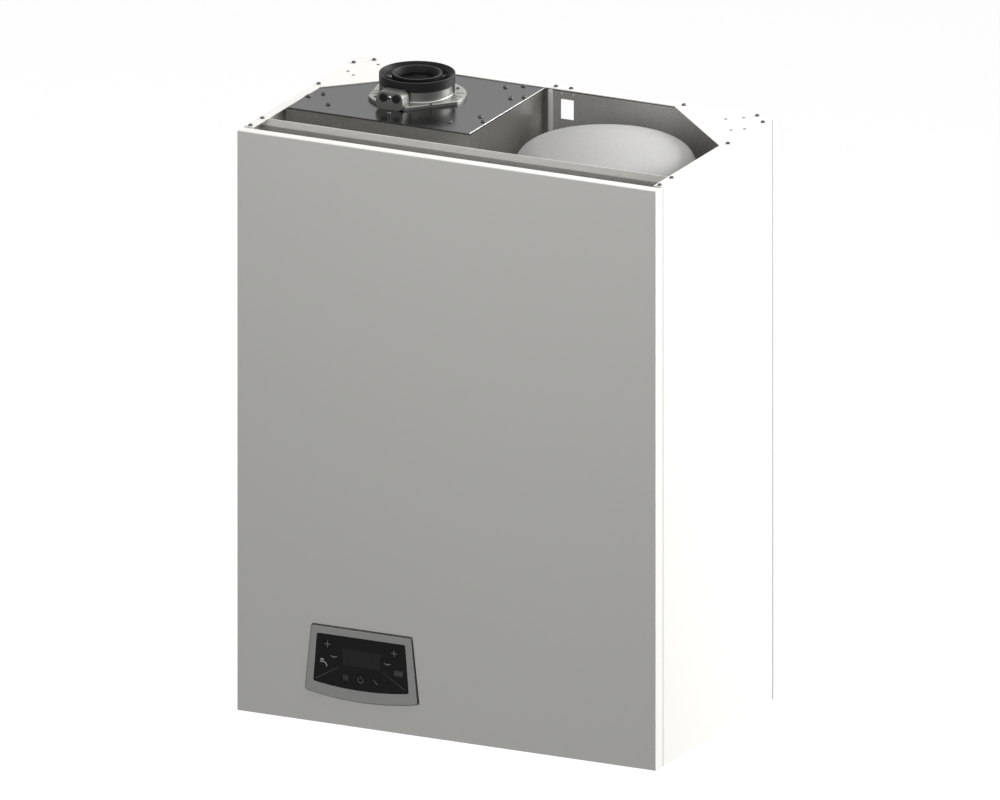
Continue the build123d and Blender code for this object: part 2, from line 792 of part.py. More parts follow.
for side, word in ((-1, "left"), (1, "right")):
    with BuildPart() as test_plug:
        plug_x = test_box_x + side * test_pitch / 2
        barrel(plug_x, test_plug_z, (test_box_front - test_plug_length + 1, test_box_front + 0.3),
               test_plug_radius)
        barrel(plug_x, test_plug_z, (test_box_front + 0.3, test_box_front + 2.3), test_plug_radius + 1.2)
        fillet(test_plug.edges().sort_by(Axis.Y)[0], 0.8)
    finish(test_plug, f"test_plug_{word}")


# ---- Exchanger shell: stainless drum on the chamber's back, with its flue collector -
with BuildPart() as exchanger_shell:
    barrel(chamber_x, shell_z, (shell_back, shell_front), shell_radius)
    barrel(chamber_x, shell_z, (shell_front, shell_front + shell_ring), shell_ring_radius)
    slab((chamber_x - collector_width / 2, chamber_x + collector_width / 2),
         (shell_back, shell_front), (shell_z, collector_top))
    spigots = [(flow_x, heating_out), (return_x, heating_out), (drain_x, drain_out)]
    for x, out in spigots:
        post(x, out, (spigot_end, shell_z), spigot_radius)
    barrel(chamber_x, shell_z, (shell_back + shell_wall, shell_front + shell_ring + 1),
           shell_radius - shell_wall, mode=Mode.SUBTRACT)
    slab((chamber_x - collector_width / 2 + shell_wall, chamber_x + collector_width / 2 - shell_wall),
         (shell_back + shell_wall, shell_front - shell_wall),
         (shell_z, collector_top - shell_wall), mode=Mode.SUBTRACT)
    for x, out in spigots:
        post(x, out, (spigot_end - 1, shell_z), spigot_radius - spigot_wall, mode=Mode.SUBTRACT)
    post(chamber_x, flue_out, (shell_z, collector_top + 1), inner_tube_bore, mode=Mode.SUBTRACT)
    split(bisect_by=Plane.XZ.offset(shell_back + shell_wall), keep=Keep.BOTH)
    split(bisect_by=Plane.XZ.offset(shell_front), keep=Keep.BOTH)
    split(bisect_by=Plane.XY.offset(shell_z), keep=Keep.BOTH)
    split(bisect_by=Plane.YZ.offset(chamber_x), keep=Keep.BOTH)
finish(exchanger_shell, "exchanger_shell")


# ---- Exchanger coil: flat turns held together by four bars --------------------------
with BuildPart() as exchanger_coil:
    coil_back = shell_back + shell_wall
    coil_pitch = coil_tube + coil_gap
    for turn in range(coil_turns):
        start = coil_back + coil_gap + turn * coil_pitch
        barrel(chamber_x, shell_z, (start, start + coil_tube), coil_outer)
    coil_front = coil_back + coil_turns * coil_pitch
    with Locations((chamber_x, -(coil_back + coil_front) / 2, shell_z)):
        for turn_angle in (45, 135, 225, 315):
            with Locations(Rotation(0, turn_angle, 0)):
                with Locations((coil_outer, 0, 0)):
                    Box(2 * coil_bar, coil_front - coil_back, 3 * coil_bar)
    barrel(chamber_x, shell_z, (coil_back - 1, coil_front + 1), coil_inner, mode=Mode.SUBTRACT)
finish(exchanger_coil, "exchanger_coil")


# ---- Burner door: cast plate on the shell's ring, holding the burner and electrodes -
burner_door_back = shell_front + shell_ring
burner_door_front = burner_door_back + door_plate
with BuildPart() as burner_door:
    barrel(chamber_x, shell_z, (burner_door_back, burner_door_front), shell_ring_radius)
    fillet(burner_door.edges().sort_by(Axis.Y)[0], door_round)
    barrel(chamber_x, shell_z, (burner_door_back - 1, burner_door_front + 1),
           burner_radius - 3, mode=Mode.SUBTRACT)
    for side in (-1, 1):
        barrel(chamber_x + side * electrode_spread, shell_z + electrode_spread,
               (burner_door_back - 1, burner_door_front + 1), electrode_radius + 0.1,
               mode=Mode.SUBTRACT)
finish(burner_door, "burner_door")

with BuildPart() as burner:
    burner_end = shell_back + burner_clearance
    barrel(chamber_x, shell_z, (burner_end, burner_door_back), burner_radius)
    barrel(chamber_x, shell_z, (burner_door_back - 2, burner_door_back),
           burner_radius + burner_flange)
    barrel(chamber_x, shell_z, (burner_end + 1.5, burner_door_back + 1), burner_radius - 1,
           mode=Mode.SUBTRACT)
    for side in (-1, 1):
        barrel(chamber_x + side * electrode_spread, shell_z + electrode_spread,
               (burner_door_back - 3, burner_door_back + 1), electrode_radius + 0.5,
               mode=Mode.SUBTRACT)
finish(burner, "burner")

with BuildPart() as electrodes:
    for side in (-1, 1):
        rod_x = chamber_x + side * electrode_spread
        rod_z = shell_z + electrode_spread
        barrel(rod_x, rod_z, (burner_door_back - electrode_inside, burner_door_front + electrode_outside),
               electrode_radius)
        barrel(rod_x, rod_z, (burner_door_front, burner_door_front + shell_ring),
               electrode_radius + electrode_collar)
        barrel(rod_x, rod_z, (burner_door_back - electrode_tip, burner_door_front + electrode_plug),
               electrode_wire)
finish(electrodes, "electrodes")


# ---- Fan: housing with the mixer at its back, impeller, motor and the duct above ----
duct_half = fan_outlet / 2
with BuildPart() as gas_air_duct:
    slab((chamber_x - duct_half, chamber_x + duct_half), (burner_door_front, fan_front - fan_wall),
         (fan_outlet_top, duct_top))
    slab((chamber_x - duct_half + duct_wall, chamber_x + duct_half - duct_wall),
         (burner_door_front + duct_wall, fan_front - fan_wall - duct_wall),
         (fan_outlet_top - 1, duct_top - duct_wall), mode=Mode.SUBTRACT)
    barrel(chamber_x, shell_z, (burner_door_front - 1, burner_door_front + 2 * duct_wall),
           duct_bore, mode=Mode.SUBTRACT)
finish(gas_air_duct, "gas_air_duct")

mixer_back = fan_back - mixer_depth
with BuildPart() as fan_housing:
    barrel(chamber_x, fan_z, (fan_back, fan_front), fan_radius)
    slab((chamber_x - duct_half, chamber_x + duct_half), (fan_back, fan_front - fan_wall),
         (fan_z, fan_outlet_top))
    barrel(chamber_x, fan_z, (mixer_back, fan_back), mixer_radius)
    inlet_centre = (chamber_x + mixer_inlet / 2, -mixer_gas_out, fan_z)
    with Locations(inlet_centre):
        Cylinder(mixer_inlet_radius, mixer_inlet, rotation=(0, 90, 0))
    barrel(chamber_x, fan_z, (fan_back + fan_wall, fan_front - fan_wall), fan_radius - fan_wall,
           mode=Mode.SUBTRACT)
    slab((chamber_x - duct_half + fan_wall, chamber_x + duct_half - fan_wall),
         (fan_back + fan_wall, fan_front - 2 * fan_wall), (fan_z, fan_outlet_top + 1),
         mode=Mode.SUBTRACT)
    barrel(chamber_x, fan_z, (mixer_back - 1, fan_back + fan_wall + 1), mixer_radius - mixer_wall,
           mode=Mode.SUBTRACT)
    with Locations((chamber_x + mixer_inlet / 2 + 1, -mixer_gas_out, fan_z)):
        Cylinder(tail_radius - pipe_wall, mixer_inlet, rotation=(0, 90, 0), mode=Mode.SUBTRACT)
    barrel(chamber_x, fan_z, (fan_front - 2 * fan_wall, fan_front + 1),
           fan_shaft + shaft_clearance, mode=Mode.SUBTRACT)
finish(fan_housing, "fan_housing")

with BuildPart() as fan_impeller:
    wheel_back = fan_back + 3 * fan_wall
    wheel_front = fan_front - 3.5 * fan_wall
    barrel(chamber_x, fan_z, (wheel_front - blade_sheet, wheel_front), impeller_radius)
    barrel(chamber_x, fan_z, (wheel_back, wheel_front), impeller_hub)
    barrel(chamber_x, fan_z, (wheel_back, fan_front + motor_depth - 10), fan_shaft)
    with Locations((chamber_x, -(wheel_back + wheel_front) / 2, fan_z)):
        for blade in range(impeller_blades):
            with Locations(Rotation(0, blade * 360 / impeller_blades, 0)):
                with Locations((impeller_radius - blade_length / 2 - blade_sheet, 0, 0)):
                    Box(blade_length, wheel_front - wheel_back, blade_sheet, rotation=(0, 20, 0))
finish(fan_impeller, "fan_impeller")

with BuildPart() as fan_motor:
    barrel(chamber_x, fan_z, (fan_front, fan_front + motor_depth), motor_radius)
    fillet(fan_motor.edges().sort_by(Axis.Y)[0], 3)
    barrel(chamber_x, fan_z, (fan_front - 1, fan_front + motor_depth - 8),
           fan_shaft + shaft_clearance, mode=Mode.SUBTRACT)
finish(fan_motor, "fan_motor")


# ---- Gas valve and the gas pipes ----------------------------------------------------
nut_bottom = tail_bottom + tail_end
with BuildPart() as gas_valve:
    slab((gas_valve_x - gas_valve_width / 2, gas_valve_x + gas_valve_width / 2),
         (gas_valve_back, gas_valve_front), (gas_valve_bottom, gas_valve_top))
    fillet(gas_valve.edges(), door_round)
    barrel(gas_valve_x, (gas_valve_bottom + gas_valve_top) / 2,
           (gas_valve_front - 1, gas_valve_front + gas_port_length), gas_port_radius)
finish(gas_valve, "gas_valve")

with BuildPart() as gas_pipes:
    add(bent_pipe([
        (0, -tail_out, tail_bottom),
        (0, -tail_out, gas_pipe_level),
        (gas_valve_x, -gas_inlet_out, gas_pipe_level),
        (gas_valve_x, -gas_inlet_out, gas_valve_bottom),
    ], tail_radius, pipe_bend))
    add(bent_pipe([
        (gas_valve_x, -mixer_gas_out, gas_valve_top),
        (gas_valve_x, -mixer_gas_out, fan_z),
        (chamber_x + mixer_inlet, -mixer_gas_out, fan_z),
    ], tail_radius, gas_bend))
    post(0, tail_out, (nut_bottom, nut_bottom + nut_height), nut_radius)
    post(0, tail_out, (nut_bottom - 1, nut_bottom + nut_height + 1), tail_radius - pipe_wall,
         mode=Mode.SUBTRACT)
finish(gas_pipes, "gas_pipes")


# ---- Storage tank in its foam, standing on a shelf ----------------------------------
tank_axis = Axis((tank_x, -tank_out, 0), (0, 0, 1))
tank_plane = Plane(origin=(tank_x, -tank_out, 0), x_dir=(1, 0, 0), z_dir=(0, -1, 0))
tank_radius = foam_radius - foam_wall - tank_gap
tank_bottom = foam_bottom + tank_stem + tank_end_rise
tank_top = foam_apex - foam_rise - foam_wall


def domed_profile(radius, bottom, shoulder, apex, corner):
    with BuildSketch() as profile:
        with BuildLine():
            Polyline((0, apex), (0, bottom), (radius, bottom), (radius, shoulder))
            rise = apex - shoulder
            arc_radius = (radius**2 + rise**2) / (2 * rise)
            RadiusArc((radius, shoulder), (0, apex), -arc_radius)
        make_face()
        fillet(profile.vertices().group_by(Axis.X)[-1].sort_by(Axis.Y)[-1], corner)
    return profile.sketch


foam_outside = domed_profile(foam_radius, foam_bottom, foam_apex - foam_rise, foam_apex,
                             foam_shoulder)
foam_inside = domed_profile(foam_radius - foam_wall, foam_bottom, tank_top,
                            foam_apex - foam_wall, foam_shoulder)
with BuildPart() as tank_insulation:
    with BuildSketch(tank_plane):
        add(foam_outside)
        add(foam_inside, mode=Mode.SUBTRACT)
    revolve(axis=tank_axis)
finish(tank_insulation, "tank_insulation")

with BuildPart() as storage_tank:
    post(tank_x, tank_out, (tank_bottom, tank_top), tank_radius)
    fillet(storage_tank.edges().filter_by(GeomType.CIRCLE), tank_end_rise)
    post(tank_x, tank_out, (foam_bottom + tank_flange_plate, tank_bottom + 1),
         tank_flange_radius)
    post(tank_x, tank_out, (tank_bottom + vessel_wall, tank_top - vessel_wall),
         tank_radius - tank_end_rise, mode=Mode.SUBTRACT)
    post(tank_x, tank_out, (tank_bottom + tank_end_rise, tank_top - tank_end_rise),
         tank_radius - vessel_wall, mode=Mode.SUBTRACT)
    post(tank_x, tank_out, (foam_bottom, tank_bottom + 2 * vessel_wall),
         tank_flange_radius - tank_neck_wall, mode=Mode.SUBTRACT)
finish(storage_tank, "storage_tank")

hot_x = tank_x - hot_step
cold_x = tank_x + cold_step
with BuildPart() as tank_flange:
    post(tank_x, tank_out, (foam_bottom, foam_bottom + tank_flange_plate), tank_flange_radius)
    post(tank_x, tank_out, (foam_bottom, tank_bottom + anode_length), anode_radius)
    fillet(tank_flange.edges().sort_by(Axis.Z)[-1], 4)
    for x in (hot_x, cold_x):
        post(x, tank_out, (foam_bottom - 1, foam_bottom + 2 * tank_flange_plate),
             tail_radius - pipe_wall, mode=Mode.SUBTRACT)
finish(tank_flange, "tank_flange")

shelf_top = foam_bottom
shelf_right = hem_edge - slack
with BuildPart() as tank_shelf:
    slab((shelf_left, shelf_right), (rear_wall_out, shelf_front), (shelf_top - sheet, shelf_top))
    slab((shelf_left, shelf_right), (rear_wall_out, rear_wall_out + sheet),
         (shelf_top - 3 * shelf_lip, shelf_top))
    slab((shelf_left, shelf_right), (shelf_front - sheet, shelf_front),
         (shelf_top - shelf_lip, shelf_top))
    for x in (shelf_left, shelf_right - sheet):
        slab((x, x + sheet), (rear_wall_out, shelf_front), (shelf_top - shelf_lip, shelf_top))
    post(tank_x, tank_out, (shelf_top - 2 * sheet, shelf_top + sheet), tank_flange_radius - shelf_ledge,
         mode=Mode.SUBTRACT)
finish(tank_shelf, "tank_shelf")

with BuildPart() as tank_pipes:
    for tail_x, top_x, level in ((tail_xs[1], hot_x, hot_pipe_level), (tail_xs[3], cold_x, cold_pipe_level)):
        add(bent_pipe([
            (tail_x, -tail_out, tail_bottom),
            (tail_x, -tail_out, level),
            (top_x, -tank_out, level),
            (top_x, -tank_out, foam_bottom),
        ], tail_radius, pipe_bend))
        post(tail_x, tail_out, (nut_bottom, nut_bottom + nut_height), nut_radius)
        post(tail_x, tail_out, (nut_bottom - 1, nut_bottom + nut_height + 1),
             tail_radius - pipe_wall, mode=Mode.SUBTRACT)
finish(tank_pipes, "tank_pipes")


# ---- Brass blocks, plate exchanger and the copper tails under them ------------------
with BuildPart() as hydraulic_blocks:
    slab((flow_block_left, -block_gap_half), (block_back, block_front), (block_bottom, block_top))
    slab((block_gap_half, return_block_right), (block_back, block_front), (block_bottom, block_top))
    fillet(hydraulic_blocks.edges().filter_by(Axis.Y), block_round)
    post(tail_xs[0], tail_out, (block_top - block_well, block_top + 1), spindle_disc + 1,
         mode=Mode.SUBTRACT)
    for x in (tail_xs[0], tail_xs[4]):
        post(x, tail_out, (block_bottom - 1, block_top - block_well / 2), tail_radius - pipe_wall,
             mode=Mode.SUBTRACT)
    for x, out in ((flow_x, heating_out), (tail_xs[4], pump_out)):
        post(x, out, (block_top - block_well, block_top + 1), heating_radius - pipe_wall,
             mode=Mode.SUBTRACT)
finish(hydraulic_blocks, "hydraulic_blocks")

with BuildPart() as plate_exchanger:
    slab((-block_gap_half, block_gap_half), (exchanger_back, exchanger_front),
         (block_bottom + exchanger_inset, block_top - exchanger_inset))
    plate_pitch = 2 * block_gap_half / exchanger_plates
    for plate in range(1, exchanger_plates):
        x = -block_gap_half + plate * plate_pitch
        slab((x - exchanger_groove / 2, x + exchanger_groove / 2),
             (exchanger_back + exchanger_edge, exchanger_front + 1),
             (block_top - 1.5 * exchanger_inset, block_top), mode=Mode.SUBTRACT)
finish(plate_exchanger, "plate_exchanger")

with BuildPart() as copper_tails:
    for x in (tail_xs[0], tail_xs[4]):
        post(x, tail_out, (tail_bottom, block_bottom), tail_radius)
        post(x, tail_out, (nut_bottom, nut_bottom + nut_height), nut_radius)
        post(x, tail_out, (tail_bottom - 1, block_bottom + 1), tail_radius - pipe_wall,
             mode=Mode.SUBTRACT)
    post(vessel_x, vessel_tail_out, (block_top, vessel_z - vessel_radius),
         vessel_tail_radius)
finish(copper_tails, "copper_tails")

with BuildPart() as heating_pipes:
    post(flow_x, heating_out, (block_top, spigot_end), heating_radius)
    post(flow_x, heating_out, (block_top - 1, spigot_end + 1), heating_radius - pipe_wall,
         mode=Mode.SUBTRACT)
    add(bent_pipe([
        (tail_xs[4], -pump_out, pump_outlet_z),
        (tail_xs[4], -pump_out, return_pipe_level),
        (return_x, -heating_out, return_pipe_level),
        (return_x, -heating_out, spigot_end),
    ], heating_radius, pipe_bend))
finish(heating_pipes, "heating_pipes")


# ---- Diverter valve: body on the flow block, spindle, actuator above ----------------
diverter_x = tail_xs[0]
with BuildPart() as diverter_body:
    post(diverter_x, tail_out, (block_top, diverter_top), diverter_radius)
    post(diverter_x, tail_out, (block_top - 1, diverter_top - diverter_neck), spindle_disc + 1,
         mode=Mode.SUBTRACT)
    post(diverter_x, tail_out, (block_top, diverter_top + 1), spindle_radius + spindle_clearance,
         mode=Mode.SUBTRACT)
finish(diverter_body, "diverter_body")

with BuildPart() as diverter_actuator:
    half_actuator = actuator_size / 2
    slab((diverter_x - half_actuator, diverter_x + half_actuator),
         (tail_out - half_actuator, tail_out + half_actuator),
         (diverter_top, diverter_top + actuator_height))
    fillet(diverter_actuator.edges().filter_by(Axis.Z), block_round)
    post(diverter_x, tail_out, (diverter_top - 1, spindle_top + spindle_stroke + spindle_radius),
         1.5 * spindle_radius, mode=Mode.SUBTRACT)
finish(diverter_actuator, "diverter_actuator")

with BuildPart() as diverter_spindle:
    post(diverter_x, tail_out, (spindle_bottom, spindle_top), spindle_radius)
    post(diverter_x, tail_out, (spindle_bottom, spindle_bottom + spindle_disc_height), spindle_disc)
finish(diverter_spindle, "diverter_spindle")


# ---- Circulation pump on the return block -------------------------------------------
pump_x = tail_xs[4]
with BuildPart() as pump_body:
    barrel(pump_x, pump_z, (pump_back, pump_front), pump_radius)
    post(pump_x, pump_out, (block_top, pump_outlet_z), pump_port_radius)
    barrel(pump_x, pump_z, (pump_back + pump_wall, pump_front + 1), pump_radius - pump_wall,
           mode=Mode.SUBTRACT)
    barrel(pump_x, pump_z, (pump_back + 2, pump_front), rotor_shaft + shaft_clearance,
           mode=Mode.SUBTRACT)
    post(pump_x, pump_out, (block_top - 1, pump_outlet_z + 1), heating_radius - pipe_wall,
         mode=Mode.SUBTRACT)
finish(pump_body, "pump_body")

with BuildPart() as pump_motor:
    barrel(pump_x, pump_z, (pump_front, pump_motor_front), pump_radius)
    fillet(pump_motor.edges().sort_by(Axis.Y)[0], motor_round)
    can_front = pump_front + can_depth
    barrel(pump_x, pump_z, (pump_front + can_wall, can_front), rotor_can + can_clearance,
           mode=Mode.SUBTRACT)
    barrel(pump_x, pump_z, (pump_front - 1, can_front + bearing_depth),
           rotor_shaft + shaft_clearance, mode=Mode.SUBTRACT)
finish(pump_motor, "pump_motor")

with BuildPart() as pump_rotor:
    wheel_start = pump_back + 2 * pump_wall
    barrel(pump_x, pump_z, (pump_back + pump_wall / 2, can_front + bearing_depth / 2), rotor_shaft)
    barrel(pump_x, pump_z, (pump_front + 2 * can_wall, can_front - can_wall), rotor_can)
    barrel(pump_x, pump_z, (wheel_start, wheel_start + can_wall), pump_radius - 10)
    with Locations((pump_x, -(wheel_start + rotor_blade_depth / 2 + 2), pump_z)):
        for blade in range(6):
            with Locations(Rotation(0, blade * 60, 0)):
                with Locations((rotor_blade / 2 + rotor_shaft, 0, 0)):
                    Box(rotor_blade, rotor_blade_depth, can_wall, rotation=(0, 25, 0))
finish(pump_rotor, "pump_rotor")


# ---- Safety valve with its knob -----------------------------------------------------
with BuildPart() as safety_valve:
    barrel(valve_x, valve_z, (block_front, block_front + valve_length), valve_radius)
    barrel(valve_x, valve_z, (block_front, block_front + valve_length + knob_length * 0.7),
           rotor_shaft)
finish(safety_valve, "safety_valve")

with BuildPart() as safety_knob:
    knob_start = block_front + valve_length + slack
    barrel(valve_x, valve_z, (knob_start, knob_start + knob_length), knob_radius)
    with Locations((valve_x, -(knob_start + knob_length / 2), valve_z)):
        for groove in range(6):
            with Locations(Rotation(0, groove * 60, 0)):
                with Locations((knob_radius + knob_groove / 2, 0, 0)):
                    Cylinder(knob_groove, knob_length + 2, rotation=(90, 0, 0), mode=Mode.SUBTRACT)
    barrel(valve_x, valve_z, (knob_start - 1, knob_start + knob_length * 0.8),
           rotor_shaft + shaft_clearance, mode=Mode.SUBTRACT)
finish(safety_knob, "safety_knob")


# ---- Expansion vessel: flat drum on the rear wall -----------------------------------
vessel_middle = rear_wall_out + vessel_depth / 2
with BuildPart() as vessel_inside:
    barrel(vessel_x, vessel_z, (rear_wall_out + vessel_wall, rear_wall_out + vessel_depth - vessel_wall),
           vessel_radius - vessel_wall)
    fillet(vessel_inside.edges().filter_by(GeomType.CIRCLE), vessel_round - vessel_wall)

with BuildPart() as expansion_vessel:
    barrel(vessel_x, vessel_z, (rear_wall_out, rear_wall_out + vessel_depth), vessel_radius)
    fillet(expansion_vessel.edges().filter_by(GeomType.CIRCLE), vessel_round)
    barrel(vessel_x, vessel_z, (vessel_middle - 4, vessel_middle + 4), vessel_radius + vessel_seam)
    add(vessel_inside.part, mode=Mode.SUBTRACT)
finish(expansion_vessel, "expansion_vessel")


# ---- Condensate trap and the hose that fills it -------------------------------------
with BuildPart() as condensate_trap:
    post(trap_x, trap_out, (trap_bottom, trap_top), trap_radius)
    fillet(condensate_trap.edges().filter_by(GeomType.CIRCLE), trap_round)
    post(trap_x, trap_out, (trap_outlet_bottom, trap_bottom + 1), trap_outlet)
    post(trap_x, trap_out, (bead_z - trap_bead, bead_z + trap_bead), trap_outlet + trap_bead)
    add(bent_pipe([
        (drain_x, -drain_out, spigot_end),
        (drain_x, -drain_out, spigot_end - drain_elbow_drop),
        (trap_x, -trap_out, spigot_end - drain_elbow_drop - drain_fall),
        (trap_x, -trap_out, trap_top),
    ], trap_hose, trap_bend, wall=trap_hose_wall))
finish(condensate_trap, "condensate_trap")


# ---- Control box on the bottom rail's shelf, with its board -------------------------
with BuildPart() as control_box:
    slab((box_left, box_right), (box_back, box_front), (bottom_rail_height, box_top))
    fillet(control_box.edges().filter_by(Axis.Y), 4)
    slab((box_left + box_wall, box_right - box_wall), (box_back + box_wall, box_front - box_wall),
         (bottom_rail_height + box_wall, box_top - box_wall), mode=Mode.SUBTRACT)
finish(control_box, "control_box")

with BuildPart() as control_board:
    board_back = box_back + box_wall
    board_out = board_back + board_stand
    slab((box_left + board_margin, box_right - board_margin),
         (board_out, board_out + board_thickness),
         (bottom_rail_height + board_margin, box_top - board_margin))
    for x in (box_left + board_post_inset, box_right - board_post_inset):
        for z in (bottom_rail_height + board_post_inset, box_top - board_post_inset):
            barrel(x, z, (board_back, board_out + board_thickness / 2), board_post_radius)
    relay_out = board_out + board_thickness / 2
    relay_top = box_top - board_post_inset
    for step in range(5):
        x = box_left + 4 * board_margin + step * relay_pitch
        slab((x, x + relay_width), (relay_out, relay_out + relay_depth),
             (relay_top - relay_height, relay_top))
    block_right = box_right - 4 * board_margin
    block_base = bottom_rail_height + board_post_inset
    slab((block_right - coil_block_size, block_right), (relay_out, relay_out + coil_block_depth),
         (block_base, block_base + coil_block_height))
finish(control_board, "control_board")


# ---- Bezel, fascia, display and keys ------------------------------------------------
with BuildPart() as control_bezel:
    with BuildSketch(Plane.XZ.offset(box_front)):
        add(bezel_outline)
    extrude(amount=bezel_front - box_front)
    fillet(control_bezel.faces().sort_by(Axis.Y)[0].edges(), bezel_round)
    with BuildSketch(Plane.XZ.offset(box_front - 1)):
        add(fascia_outline)
        offset(amount=fascia_fit, kind=Kind.INTERSECTION)
    extrude(amount=bezel_front - box_front + 2, mode=Mode.SUBTRACT)
finish(control_bezel, "control_bezel")

with BuildPart() as control_fascia:
    with BuildSketch(Plane.XZ.offset(box_front)):
        add(fascia_outline)
    extrude(amount=fascia_front - box_front)
    with BuildSketch(Plane.XZ.offset(box_front)):
        add(fascia_outline)
        offset(amount=-fascia_rim)
    extrude(amount=fascia_front - box_front - fascia_plate, mode=Mode.SUBTRACT)
    with BuildSketch(Plane.XZ.offset(box_front)):
        with Locations(*key_spots.values()):
            Circle(key_radius + key_clearance)
        with Locations((panel_x, display_z)):
            Rectangle(display_width + 2 * fascia_fit, display_height + 2 * fascia_fit)
    extrude(amount=fascia_front - box_front + 1, mode=Mode.SUBTRACT)
finish(control_fascia, "control_fascia")

with BuildPart() as display:
    slab((panel_x - display_width / 2, panel_x + display_width / 2),
         (box_front, fascia_front - display_recess),
         (display_z - display_height / 2, display_z + display_height / 2))
finish(display, "display")

for key_name, (key_x, key_z) in key_spots.items():
    with BuildPart() as key:
        barrel(key_x, key_z, (fascia_front - fascia_plate - 1, fascia_front), key_radius)
        barrel(key_x, key_z, (box_front + key_travel + slack, fascia_front - fascia_plate),
               key_stem)
    finish(key, key_name)
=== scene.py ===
import json
from math import cos, pi, radians, sin

import bmesh
import bpy
from mathutils import Matrix, Vector


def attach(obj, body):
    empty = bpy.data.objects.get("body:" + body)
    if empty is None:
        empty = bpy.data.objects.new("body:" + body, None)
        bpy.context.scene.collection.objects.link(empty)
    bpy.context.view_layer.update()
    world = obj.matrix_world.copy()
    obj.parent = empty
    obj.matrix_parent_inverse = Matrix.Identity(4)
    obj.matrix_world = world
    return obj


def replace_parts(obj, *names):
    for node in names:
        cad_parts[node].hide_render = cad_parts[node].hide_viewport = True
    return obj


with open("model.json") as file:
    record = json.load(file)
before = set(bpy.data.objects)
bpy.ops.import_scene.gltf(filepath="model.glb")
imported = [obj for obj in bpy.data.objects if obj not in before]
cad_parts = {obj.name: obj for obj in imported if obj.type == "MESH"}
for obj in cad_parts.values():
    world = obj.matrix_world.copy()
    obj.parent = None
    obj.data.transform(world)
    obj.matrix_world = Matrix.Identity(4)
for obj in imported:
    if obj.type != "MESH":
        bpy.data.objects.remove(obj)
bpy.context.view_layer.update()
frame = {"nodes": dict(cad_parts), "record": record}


# White sheet steel: rear frame, side panels, rails, bottom plate and the pull-off cover.
# Folded, powder coated with a fine orange-peel skin, and screwed together. Two lines of
# painted shade up each side mark the gaps where its panel meets the rear frame and the cover.
class Wire:
    """A node's output, used like a number: + - * / make Math nodes."""

    def __init__(self, tree, socket=None):
        self.tree = tree
        self.socket = socket

    def put(self, kind, inputs, output=0, **settings):
        """One output of a new node, whose inputs are linked or set."""
        node = self.tree.nodes.new(kind)
        for key, value in settings.items():
            setattr(node, key, value)
        for key, value in inputs.items():
            if isinstance(value, Wire):
                self.tree.links.new(value.socket, node.inputs[key])
            else:
                node.inputs[key].default_value = value
        return Wire(self.tree, node.outputs[output])

    def math(self, operation, *others):
        """A Math node of this output, followed by the others."""
        return self.put("ShaderNodeMath", dict(enumerate((self, *others))), operation=operation)

    def __add__(self, other):
        return self.math("ADD", other)

    def __sub__(self, other):
        return self.math("SUBTRACT", other)

    def __mul__(self, other):
        return self.math("MULTIPLY", other)

    def __truediv__(self, other):
        return self.math("DIVIDE", other)

    def __rsub__(self, other):
        return self.put("ShaderNodeMath", {0: other, 1: self}, operation="SUBTRACT")

    def __rtruediv__(self, other):
        return self.put("ShaderNodeMath", {0: other, 1: self}, operation="DIVIDE")

    __radd__ = __add__
    __rmul__ = __mul__

    def noise(self, scale, detail=3.0, roughness=0.5):
        inputs = {"Vector": self, "Scale": scale, "Detail": detail, "Roughness": roughness}
        return self.put("ShaderNodeTexNoise", inputs)

    def stretched(self, x, y, z):
        return self.put("ShaderNodeVectorMath", {0: self, 1: (x, y, z)}, operation="MULTIPLY")

    def cells(self, scale, output=0, **settings):
        inputs = {"Vector": self, "Scale": scale}
        return self.put("ShaderNodeTexVoronoi", inputs, output, **settings)

    def part(self, axis):
        return self.put("ShaderNodeSeparateXYZ", {0: self}, "XYZ".index(axis))

    def between(self, low, high, first, second):
        """Runs from first at low to second at high, and stays level beyond them."""
        inputs = {0: self, 1: low, 2: high, 3: first, 4: second}
        return self.put("ShaderNodeMapRange", inputs)

    def band(self, start, full, fade, end):
        """1 from full to fade, falling to 0 at start and at end."""
        return self.between(start, full, 0.0, 1.0) * self.between(fade, end, 1.0, 0.0)

    def mix(self, first, second):
        """First where this output is 0 and second where it is 1, as colours."""
        colours = {0: self, 6: first, 7: second}
        for key in (6, 7):
            if isinstance(colours[key], tuple):
                colours[key] = (*colours[key], 1)
        return self.put("ShaderNodeMix", colours, 2, data_type="RGBA")

    def bump(self, distance, strength=1.0):
        inputs = {"Height": self, "Distance": distance, "Strength": strength}
        return self.put("ShaderNodeBump", inputs)


def material(name):
    """A new material with its shader, and its object coordinates in metres."""
    made = bpy.data.materials.new(name)
    made.use_nodes = True
    tree = made.node_tree
    place = Wire(tree).put("ShaderNodeTexCoord", {}, "Object")
    return made, tree.nodes["Principled BSDF"], place


def feed(shader, **values):
    """Links or sets the shader's sockets; an underscore in a name stands for a space."""
    for name, value in values.items():
        socket = shader.inputs[name.replace("_", " ")]
        if isinstance(value, Wire):
            value.tree.links.new(value.socket, socket)
        else:
            socket.default_value = (*value, 1) if isinstance(value, tuple) else value


def paint(slot, made):
    """Gives a material to every CAD node of one slot of the record."""
    for part in frame["record"]["subparts"]:
        if part["material_slot"] == slot:
            frame["nodes"][part["node"]].data.materials[0] = made


